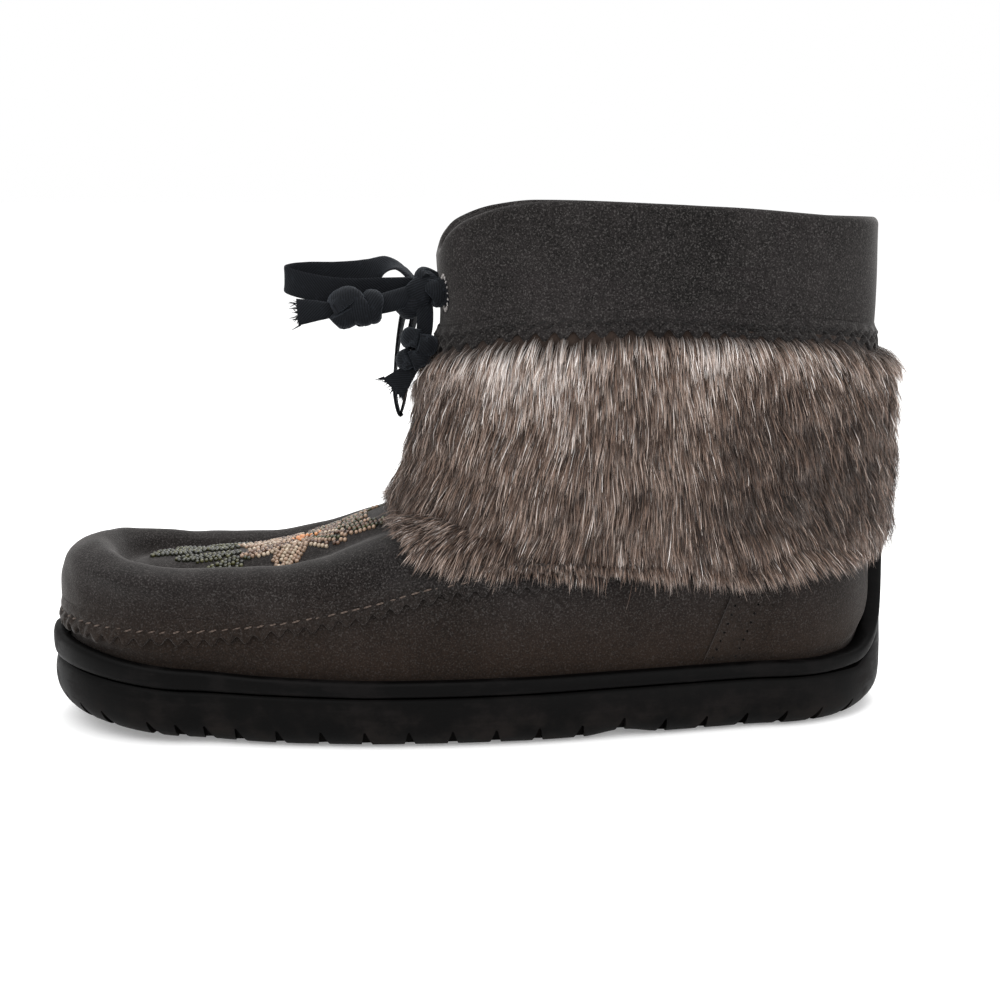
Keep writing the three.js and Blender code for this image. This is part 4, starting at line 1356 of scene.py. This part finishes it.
def blades(name, chosen):
    """One piece of fur: a lens-shaped blade of four triangles for each chosen hair."""
    count = len(chosen)
    start, end, arch = root[chosen] - out[chosen] * 0.6, tip[chosen], bend[chosen]
    run = end - start
    one = start + run * FIRST + arch * FIRST_BEND
    two = start + run * SECOND + arch * SECOND_BEND
    flat = unit(np.cross(run, out[chosen] + 0.5 * random.normal(size=(count, 3))))
    wide = random.uniform(*HALF_WIDTHS, (count, 1)) * np.where(long_hair[chosen], 0.8, 1.0)[:, None]
    flat *= wide
    points = [start, one - flat, one + flat, two - flat * 0.85, two + flat * 0.85, end]
    first = 6 * np.arange(count)[:, None]
    blade = [first + corners for corners in ((0, 2, 1), (1, 2, 4), (1, 4, 3), (3, 4, 5))]
    faces = np.stack(blade, 1).reshape(-1, 3).tolist()
    made = piece_from(name, np.stack(points, 1).reshape(-1, 3), faces, FUR)
    u = tone[chosen][:, None] + TONE_STEP * np.array([0, -1, 1, -1, 1, 0])
    v = np.broadcast_to([0.01, FIRST, FIRST, SECOND, SECOND, 0.99], u.shape)
    lay_map(made.data, "OFBake", np.stack([u, v], -1).reshape(-1, 2))
    made.data.shade_smooth()
    return made


# The hairs in the order in which they stand round the leg, dealt out into the pieces.
turn_order = np.argsort(np.arctan2(root[:, 1], root[:, 0] - 60) + 0.02 * each())
furs = [blades(f"fur_{i + 1}", chosen) for i, chosen in enumerate(np.array_split(turn_order, FUR_PIECES))]
print("fur:", [count_of(fur) for fur in furs], "triangles")

# %% [markdown]
# ## The bow
# A black twill tape, nine millimetres wide, comes out of two slits, is tied in a bow and ends in two
# overhand knots with frayed tips. Each run is a strip swept along a curve. A row gives a point, the way the
# tape's width faces there, and how wide and thick it is, so one table shows a flat loop, a twist and a
# bunched end. Knots are short wraps of bunched tape laid over each other. A weave map in millimetres runs
# along and across every strip, so that the twill's ribs follow it.

# %% Swept tape
twill = Finish("black_twill", {"Specular IOR Level": 0.12, "Sheen Weight": 0.08, "Sheen Roughness": 0.4,
                               "Sheen Tint": (0.7, 0.8, 0.95, 1)})
weave = twill.node("UVMap", {"uv_map": "weave"})
along, across = twill.part(weave, "X"), twill.part(weave, "Y")


def rib(slope, pitch):
    """Ribs of a twill, running at a slant along the tape, from 0 between them to 1 on top."""
    phase = (along * slope + across) * (2 * np.pi / pitch)
    return 0.5 + 0.5 * twill.node("Math", {"operation": "SINE"}, {0: phase})


cloth = 0.7 * rib(0.9, 0.95) + 0.3 * rib(-1.6, 0.7)
lint = twill.step(twill.noise(1.6, 3, 0.6), 0.55, 0.8)
# The tape is painted darker between the twill's ribs and lighter on their tops, as painted shade and
# highlight; the lint is real fluff.
shaded_weave = twill.blend(cloth, (0.0009, 0.0011, 0.0015), (0.0058, 0.007, 0.0095))
shaded_weave = twill.blend(0.1 * lint, shaded_weave, (0.05, 0.06, 0.075))
TAPE = twill.finish(shaded_weave, 0.88 - 0.1 * cloth, cloth, 0.00018, 0.8)


TAPE_CORNERS = 14


def strip_along(name, rows, per_row, cup, square=0.5):
    """A strip swept along rows of x, y, z, the way its width faces, width and thickness; and its middle line.

    A cup rounds its face, and square goes from 0.5 for a flat strip to 1 for an oval one.
    """
    rows = np.array(rows, float)
    t = np.linspace(0, 1, per_row * (len(rows) - 1) + 1)
    lines, tangents = through(rows[None, :, :3], t)
    line, tangent = lines[0], tangents[0]
    where = t * (len(rows) - 1)
    width_way, sizes = (np.stack([np.interp(where, np.arange(len(rows)), rows[:, k]) for k in columns], 1)
                        for columns in ((3, 4, 5), (6, 7)))
    width_way -= (width_way * tangent).sum(1)[:, None] * tangent
    width_way /= np.linalg.norm(width_way, axis=1, keepdims=True)
    face = np.cross(tangent, width_way)
    angle = np.linspace(0, 2 * np.pi, TAPE_CORNERS, endpoint=False)[:, None]
    a = np.sign(np.cos(angle)) * np.abs(np.cos(angle)) ** square
    selvedge = 1 + 0.12 * np.abs(a) ** 6
    off_face = np.sin(angle) * selvedge * sizes[:, None, 1:] / 2 + cup * (a ** 2 - 0.5)
    rings = line[:, None] + width_way[:, None] * (a * sizes[:, None, :1] / 2) + face[:, None] * off_face
    made = closed_form(name, rings, TAPE, capped=True, smooth=50)
    weave_map(made, line, width_way)
    return made, line


def weave_map(piece, line, width_way):
    """Gives each vertex its way along the line and across the width, in millimetres."""
    spots = on_draft(piece.data)
    close = nearest(spots, line)
    across_tape = ((spots - line[close]) * width_way[close]).sum(1)
    lay_map(piece.data, "weave", np.stack([run_of(line)[close], across_tape], 1))


def wrap(name, centre, axis, radius, width, thick, start):
    """A turn of bunched tape round an axis, drifting along it so that its ends pass each other."""
    axis = np.array(axis, float) / np.linalg.norm(axis)
    first = np.cross(axis, (0.13, 0.21, 0.97))
    first /= np.linalg.norm(first)
    second = np.cross(axis, first)
    rows = []
    for share in np.linspace(0, 1, 10):
        angle = np.radians(start + 360 * share)
        spot = np.array(centre) + radius * (first * np.cos(angle) + second * np.sin(angle))
        spot = spot + axis * 0.22 * width * (share - 0.5)
        swelling = 1 + 0.1 * np.sin(7 * angle)
        rows.append([*spot, *axis, width * swelling, thick])
    return strip_along(name, rows, 5, -0.3, 0.8)[0]


# %% Loops, ends and knots
LOOP_FRONT = [
    [-18, 0, 147.5, 0, 1, 0.3, 6, 1.6],
    [-22.5, 3, 151.6, 0.3, 1, 0.1, 7.5, 1.2],
    [-27.8, 5, 152.4, 0.1, 0.75, 0.7, 9, 1.1],
    [-33.5, 5.6, 150.2, 0, 0.3, 1, 9, 1.0],
    [-43, 5.2, 149.2, 0, 0.06, 1, 9, 1.0],
    [-53, 4.2, 149.2, 0.04, 0, 1, 9, 1.0],
    [-58.6, 2.4, 148.9, 0.05, 0, 1, 8.8, 1.0],
    [-60.6, -0.8, 148.4, 0, 0.05, 1, 8.4, 1.0],
    [-58.2, -3.6, 147.3, 0, 0.12, 1, 8.6, 1.0],
    [-50, -5.6, 145.4, 0, 0.12, 1, 8.8, 1.0],
    [-40, -6.2, 144.3, 0, 0.1, 1, 8.8, 1.0],
    [-29, -5.2, 144.7, 0, 0, 1, 8.4, 1.2],
    [-19, -3, 145.4, 0, 0.1, 1, 7, 2],
]
LOOP_BACK = [
    [-17, 3, 143, 0.3, 1, 0, 6, 1.8],
    [-20.5, 9, 138, 0.3, 1, 0, 8, 1.2],
    [-22.6, 13, 129, 0.2, 1, 0, 8.8, 1.1],
    [-24, 14.4, 118, 0.1, 1, 0, 8.8, 1.0],
    [-24.4, 15, 107, 0.1, 1, 0, 8.8, 1.0],
    [-22.8, 15.6, 100.6, 0.1, 1, 0, 8.6, 1.0],
    [-21, 16, 106, 0.1, 1, 0, 8.8, 1.0],
    [-20, 16, 117, 0.2, 1, 0, 8.8, 1.0],
    [-18.6, 15, 129, 0.3, 1, 0, 8.8, 1.1],
    [-16.6, 11, 138, 0.4, 1, 0.1, 7.6, 1.3],
    [-16, 3, 144, 0.2, 0.9, 0.3, 6, 1.8],
]
END_FRONT = [
    [-18, -6, 143.5, 0, 0.3, 1, 6.5, 2.4],
    [-25, -10.5, 141.6, 0, 0.4, 1, 7, 2.2],
    [-31, -13, 140.4, 0, 0.2, 1, 6.4, 3.2],
    [-40, -14, 139.6, 0, 0, 1, 5.4, 3.4],
    [-46.6, -14, 138.8, 0, 0.1, 1, 5.4, 2.2],
    [-51.5, -13.8, 138.6, 0.1, 0.1, 1, 7.2, 1.3],
    [-56.6, -13.6, 138.2, 0.25, 0.1, 1, 8.8, 0.9],
]
END_DOWN = [
    [-15.4, -7, 143, 1, 0.2, 0, 6.4, 2.2],
    [-14.8, -9, 136, 1, 0.3, 0, 5.8, 1.8],
    [-15.4, -10, 130, 1, 0.2, 0, 5.4, 2.2],
    [-17.4, -10.6, 124, 1, 0.1, -0.1, 5.0, 2.8],
    [-20.2, -11.4, 118.6, 0.95, 0.1, -0.35, 5.0, 2.2],
    [-23.2, -12.4, 115.4, 0.75, 0.1, -0.65, 7.6, 1.5],
    [-25.8, -13.4, 112.8, 0.7, 0.1, -0.7, 9.6, 1.0],
]
FRONT_BAR = [
    [-5.6, -12.4, 144, 0, 0, 1, 8.4, 1.1],
    [-10.4, -9.6, 144.4, 0, 0, 1, 8.4, 1.2],
    [-13.2, -5, 145, 0.2, 0, 1, 7.6, 1.6],
    [-14, 0, 145.4, 0.2, 0, 1, 7.2, 2.0],
    [-13.2, 5, 145, 0.2, 0, 1, 7.6, 1.6],
    [-10.4, 9.6, 144.4, 0, 0, 1, 8.4, 1.2],
    [-5.6, 12.4, 144, 0, 0, 1, 8.4, 1.1],
]
loop_front, loop_front_line = strip_along("tape_loop_front", LOOP_FRONT, 12, 0.25)
loop_back, loop_back_line = strip_along("tape_loop_back", LOOP_BACK, 12, 0.25)
end_front, end_front_line = strip_along("tape_end_front", END_FRONT, 12, 0.5)
end_down, end_down_line = strip_along("tape_end_down", END_DOWN, 12, 0.5)
front_bar, _ = strip_along("tape_bar", FRONT_BAR, 12, 0.1)

# The turns of each knot: centre, axis, radius, the tape's width and thickness, and where the turn starts.
KNOTS = {
    "bow_knot": [
        [(-15.8, -3.2, 144.0), (-0.75, 0.2, 0.62), 4.8, 8.6, 5.0, 0],
        [(-12.8, -4.4, 147.2), (0.3, -0.3, 0.9), 3.7, 6.4, 4.0, 40],
        [(-19.4, -4.6, 141.0), (0.55, 0.45, -0.7), 3.5, 7.4, 4.8, 120],
        [(-11.2, -8, 143.6), (0.85, 0.3, 0.4), 2.9, 5.6, 3.6, 200],
    ],
    "end_front_knot": [
        [(-40.8, -14, 139.6), (1, 0.15, 0.5), 4.2, 10.4, 4.6, 10],
        [(-36.4, -14, 139.2), (0.9, -0.2, 0.7), 4.2, 7.6, 4.4, 130],
        [(-32, -13.6, 139.8), (1, 0.1, -0.15), 3.5, 6.2, 4.2, 240],
    ],
    "end_down_knot": [
        [(-16.8, -10.2, 128.0), (0.3, 0.1, 1), 4.0, 6.8, 4.6, 30],
        [(-18.8, -10.6, 122.2), (-0.35, 0.2, 1), 3.5, 6.4, 4.4, 160],
    ],
}
for name, turns in KNOTS.items():
    knot = joined(name, [wrap(f"{name}_{i + 1}", *told) for i, told in enumerate(turns)])
    print(name, "triangles:", count_of(knot))

# %% Frayed tips
deselect()
bpy.ops.mesh.primitive_cone_add(vertices=5, radius1=0.00028, radius2=0.00006, depth=0.003)
fray = primitive("fray", TAPE)
for vertex in fray.data.vertices:
    vertex.co.z += 0.0014
frays = []
shake = np.random.default_rng(5)
for rows, count in ((END_FRONT, 26), (END_DOWN, 30)):
    end, before = np.array(rows[-1]), np.array(rows[-2])
    run = (end - before)[:3] / np.linalg.norm((end - before)[:3])
    wide = end[3:6] - end[3:6] @ run * run
    wide /= np.linalg.norm(wide)
    for _ in range(count):
        across_share = shake.uniform(-0.5, 0.5)
        spot = end[:3] + wide * across_share * end[6] - run * 0.6
        way_out = run + wide * (across_share * 0.9 + 0.3 * shake.normal()) + 0.35 * shake.normal(size=3)
        size = shake.uniform(0.5, 1.25)
        frays.append(frame_at(spot, np.cross(way_out, (0.2, 0.9, 0.1)), way_out) @ Matrix.Scale(size, 4))
frayed = copies("tape_frays", fray, frays)
weave_map(frayed, np.array([END_FRONT[-1][:3], END_DOWN[-1][:3]]), np.array([[0, 0, 1.0], [1.0, 0, 0]]))

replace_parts(loop_front, "lace_loop_front")
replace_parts(loop_back, "lace_loop_down")
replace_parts(end_front, "lace_end_front")
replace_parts(end_down, "lace_end_down")
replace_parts(bpy.data.objects["bow_knot"], "lace_knot")
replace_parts(front_bar, "lace_bar")


LACE_ROOT = tuple(into_frame([-17, -2, 145]).tolist())
for piece, line, thick in ((loop_front, loop_front_line, 0.009), (loop_back, loop_back_line, 0.009),
                           (end_front, end_front_line, 0.006), (end_down, end_down_line, 0.0056)):
    length = float(run_of(line)[-1]) / 1000
    path = [tuple(p) for p in into_frame(line[::4]).tolist()]
    print(piece.name, "length, mm:", round(1000 * length, 1))

# %% [markdown]
# ## Beadwork
# The plug carries a sewn flower: glass seed beads in rows, each row couched down by its thread. Every petal
# and leaf is an outline in plan, filled with rows of beads along its length, and a ray dropped onto the
# plug gives each bead its height and tilt. One bead with a few dozen faces is copied for all of a colour.

# %% Glass beads
def bead_glass(name, dark, light):
    """Glass whose dye is a little uneven from bead to bead."""
    g = Finish(name, {"Specular IOR Level": 0.5, "Coat Weight": 0.35, "Coat Roughness": 0.2})
    dye = g.noise(2.2, 2)
    colour = g.blend(g.step(dye, 0.35, 0.65), dark, light)
    return g.finish(colour, 0.28 + 0.12 * dye, g.noise(0.5, 2), 0.00004, 0.4)


DYES = {
    "tan": ((0.15, 0.095, 0.06), (0.33, 0.22, 0.15)),
    "cream": ((0.24, 0.18, 0.12), (0.44, 0.35, 0.26)),
    "orange": ((0.42, 0.13, 0.03), (0.62, 0.26, 0.08)),
    "olive": ((0.014, 0.0145, 0.003), (0.06, 0.058, 0.015)),
    "brown": ((0.05, 0.024, 0.014), (0.13, 0.07, 0.042)),
    "dark": ((0.007, 0.008, 0.005), (0.026, 0.027, 0.016)),
}
GLASS = {colour: bead_glass("beads_" + colour, *tones) for colour, tones in DYES.items()}
# Petals and leaves in plan: centre, half length and half width, the way the length points in degrees,
# and the colours of its rows from the middle outwards.
SHAPES = [
    [(-68.5, -4), 10, 5.6, 205, ("tan", "brown", "tan", "cream")],
    [(-70, 6.5), 10, 5.6, 162, ("tan", "cream", "tan", "tan")],
    [(-63, 14), 8.5, 5, 115, ("tan", "brown", "tan", "cream")],
    [(-61, -10.5), 8.5, 5, 250, ("tan", "cream", "tan", "tan")],
    [(-49, -7), 9.5, 5.4, 322, ("olive", "tan", "brown", "cream")],
    [(-48, 11), 9.5, 5.4, 40, ("tan", "olive", "tan", "brown")],
    [(-57, 2.5), 6.2, 5.6, 0, ("orange", "orange", "orange", "brown")],
    [(-89, -5), 11, 4.6, 188, ("olive", "dark", "olive", "dark")],
    [(-90, 8), 11, 4.6, 172, ("olive", "olive", "dark", "olive")],
    [(-82, -13), 8.5, 3.8, 208, ("olive", "dark", "olive")],
    [(-83, 17), 8.5, 3.8, 150, ("olive", "dark", "olive")],
    [(-101, 2), 9, 4, 180, ("dark", "olive", "dark")],
    [(-42, 2.5), 8.5, 5, 0, ("olive", "brown", "tan", "olive")],
    [(-37, -9), 8.5, 4, 345, ("brown", "olive", "tan")],
    [(-37, 14), 8.5, 4, 15, ("brown", "olive", "tan")],
]
# From bead to bead, a bead's radius, and half its height over the suede where it is sewn.
PITCH = 1.55
BEAD = 0.82
SEATED = 0.5
ground = BVHTree.FromObject(plug, bpy.context.evaluated_depsgraph_get())
sown = {colour: [] for colour in GLASS}
taken = []
tremble = np.random.default_rng(9)
for (cx, cy), half_long, half_wide, turn, colours in SHAPES:
    turn = np.radians(turn)
    axis, cross_axis = np.array([np.cos(turn), np.sin(turn)]), np.array([-np.sin(turn), np.cos(turn)])
    lanes = int(half_wide / PITCH)
    for lane in range(-lanes, lanes + 1):
        share = lane / (lanes + 0.6)
        reach = half_long * np.sqrt(1 - share ** 2)
        for s in np.arange(-reach, reach + 0.01, PITCH * 0.98):
            bow = lane * PITCH * (1 - 0.35 * (s / half_long) ** 2)
            spot = np.array([cx, cy]) + axis * s + cross_axis * bow + 0.12 * tremble.normal(size=2)
            if any(np.hypot(*(spot - other)) < 0.84 * PITCH for other in taken):
                continue
            hit, up_way, _, _ = ground.ray_cast(at_vector([*spot, 120]), Vector((0, 0, -1)))
            if hit is None or up_way.z < 0.6:
                continue
            taken.append(spot)
            tangent = axis + cross_axis * (-0.7 * lane * PITCH * s / half_long ** 2)
            colour = colours[min(abs(lane), len(colours) - 1)]
            place = frame_at([*spot, 1000 * hit.z + SEATED], (*tangent, 0), up_way)
            sown[colour].append(place @ Matrix.Scale(tremble.uniform(0.92, 1.06), 4))
beads = []
for colour, places in sown.items():
    seed = ball("seed_bead", GLASS[colour], 9, 5, BEAD / 1000)
    for vertex in seed.data.vertices:
        vertex.co.x *= 0.82
    beads.append(copies("beads_" + colour, seed, places))
print("beads:", {colour: len(places) for colour, places in sown.items()})
print("bead triangles:", sum(map(count_of, beads)))

# %% [markdown]
# ## View and light
# The boot is shown from its outer side and a little from above, with a long lens, on a plain pale floor.
# Four large soft lamps and a white surround leave hardly any shadow, as in a light tent. The paper floor
# glows a little, so that it stays white far behind the boot, and only the contact shadow shows.

# %% Camera
# Where the camera stands on the draft, how far it looks down and turns aside, and its lens.
EYE = SimpleNamespace(place=(-37.4, -552.9, 178), down=10.8, aside=-5, lens=58.9, sensor=36)
eye = bpy.data.cameras.new("view")
eye.lens = EYE.lens
eye.sensor_width = EYE.sensor
eye.clip_end = 20
camera = linked("view", eye)
camera.location = into_frame(EYE.place)
camera.rotation_euler = (np.radians(90 - EYE.down), 0, np.radians(EYE.aside))
bpy.context.scene.camera = camera
bpy.context.scene.view_settings.view_transform = "Standard"
print("camera, mm:", [round(1000 * v) for v in camera.location])

# %% Lamps, surround and floor
LAMPS = {
    "key": SimpleNamespace(place=(-0.55, -0.75, 1.15), size=0.9, power=9),
    "fill": SimpleNamespace(place=(0.7, -0.9, 0.5), size=0.9, power=4.5),
    "top": SimpleNamespace(place=(0.1, 0.15, 1.4), size=1.2, power=9),
    "back": SimpleNamespace(place=(0.5, 0.9, 0.8), size=0.9, power=7),
}
AIM = Vector((0, 0, 0.08))
for name, told in LAMPS.items():
    lamp = bpy.data.lights.new(name, "AREA")
    lamp.shape = "SQUARE"
    lamp.size = told.size
    lamp.energy = told.power
    lit = linked(name, lamp)
    lit.location = told.place
    lit.rotation_euler = (AIM - lit.location).to_track_quat("-Z", "Y").to_euler()

world = bpy.data.worlds.new("studio")
bpy.context.scene.world = world
world.use_nodes = True
world.node_tree.nodes["Background"].inputs["Color"].default_value = (1, 1, 1, 1)
world.node_tree.nodes["Background"].inputs["Strength"].default_value = 1.0

deselect()
bpy.ops.mesh.primitive_plane_add(size=40, location=(0, 0, -0.0004))
floor = bpy.context.active_object
floor.name = "studio_floor"
bpy.ops.object.transform_apply(location=True)
paper = Finish("paper", {"Specular IOR Level": 0.1, "Emission Color": (1, 1, 1, 1),
                         "Emission Strength": 0.22})
paper_tone = paper.blend(paper.noise(60, 3), (0.8, 0.8, 0.8), (0.84, 0.84, 0.84))
floor.data.materials.append(paper.finish(paper_tone, 0.9))
print("lamps:", list(LAMPS), "floor:", [round(v, 1) for v in floor.dimensions])

# %% [markdown]
# ## What each piece belongs to
# Nothing on the boot hinges, so every piece rides the one body. The pieces are listed by material, and the
# triangles of each group are printed.

# %% Body and triangles by material
SLOTS = {
    "suede": "upper_suede vamp_plug_suede seam_strip heel_panel_outer heel_panel_inner collar_strip "
             "collar_hem",
    "rubber": "outsole_rubber welt_rubber",
    "fur": "fur_undercoat fur_1 fur_2 fur_3 fur_4",
    "cotton": "tape_loop_front tape_loop_back tape_end_front tape_end_down tape_bar tape_frays bow_knot "
              "end_front_knot end_down_knot seam_stitches collar_stitches hem_stitches slit_stitches "
              "needle_holes",
    "beads": "beads_tan beads_cream beads_orange beads_olive beads_brown beads_dark",
}
for slot, names in SLOTS.items():
    for name in names.split():
        piece = bpy.data.objects[name]
        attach(piece, "root")
    print(slot, "triangles:", sum(count_of(bpy.data.objects[name]) for name in names.split()))
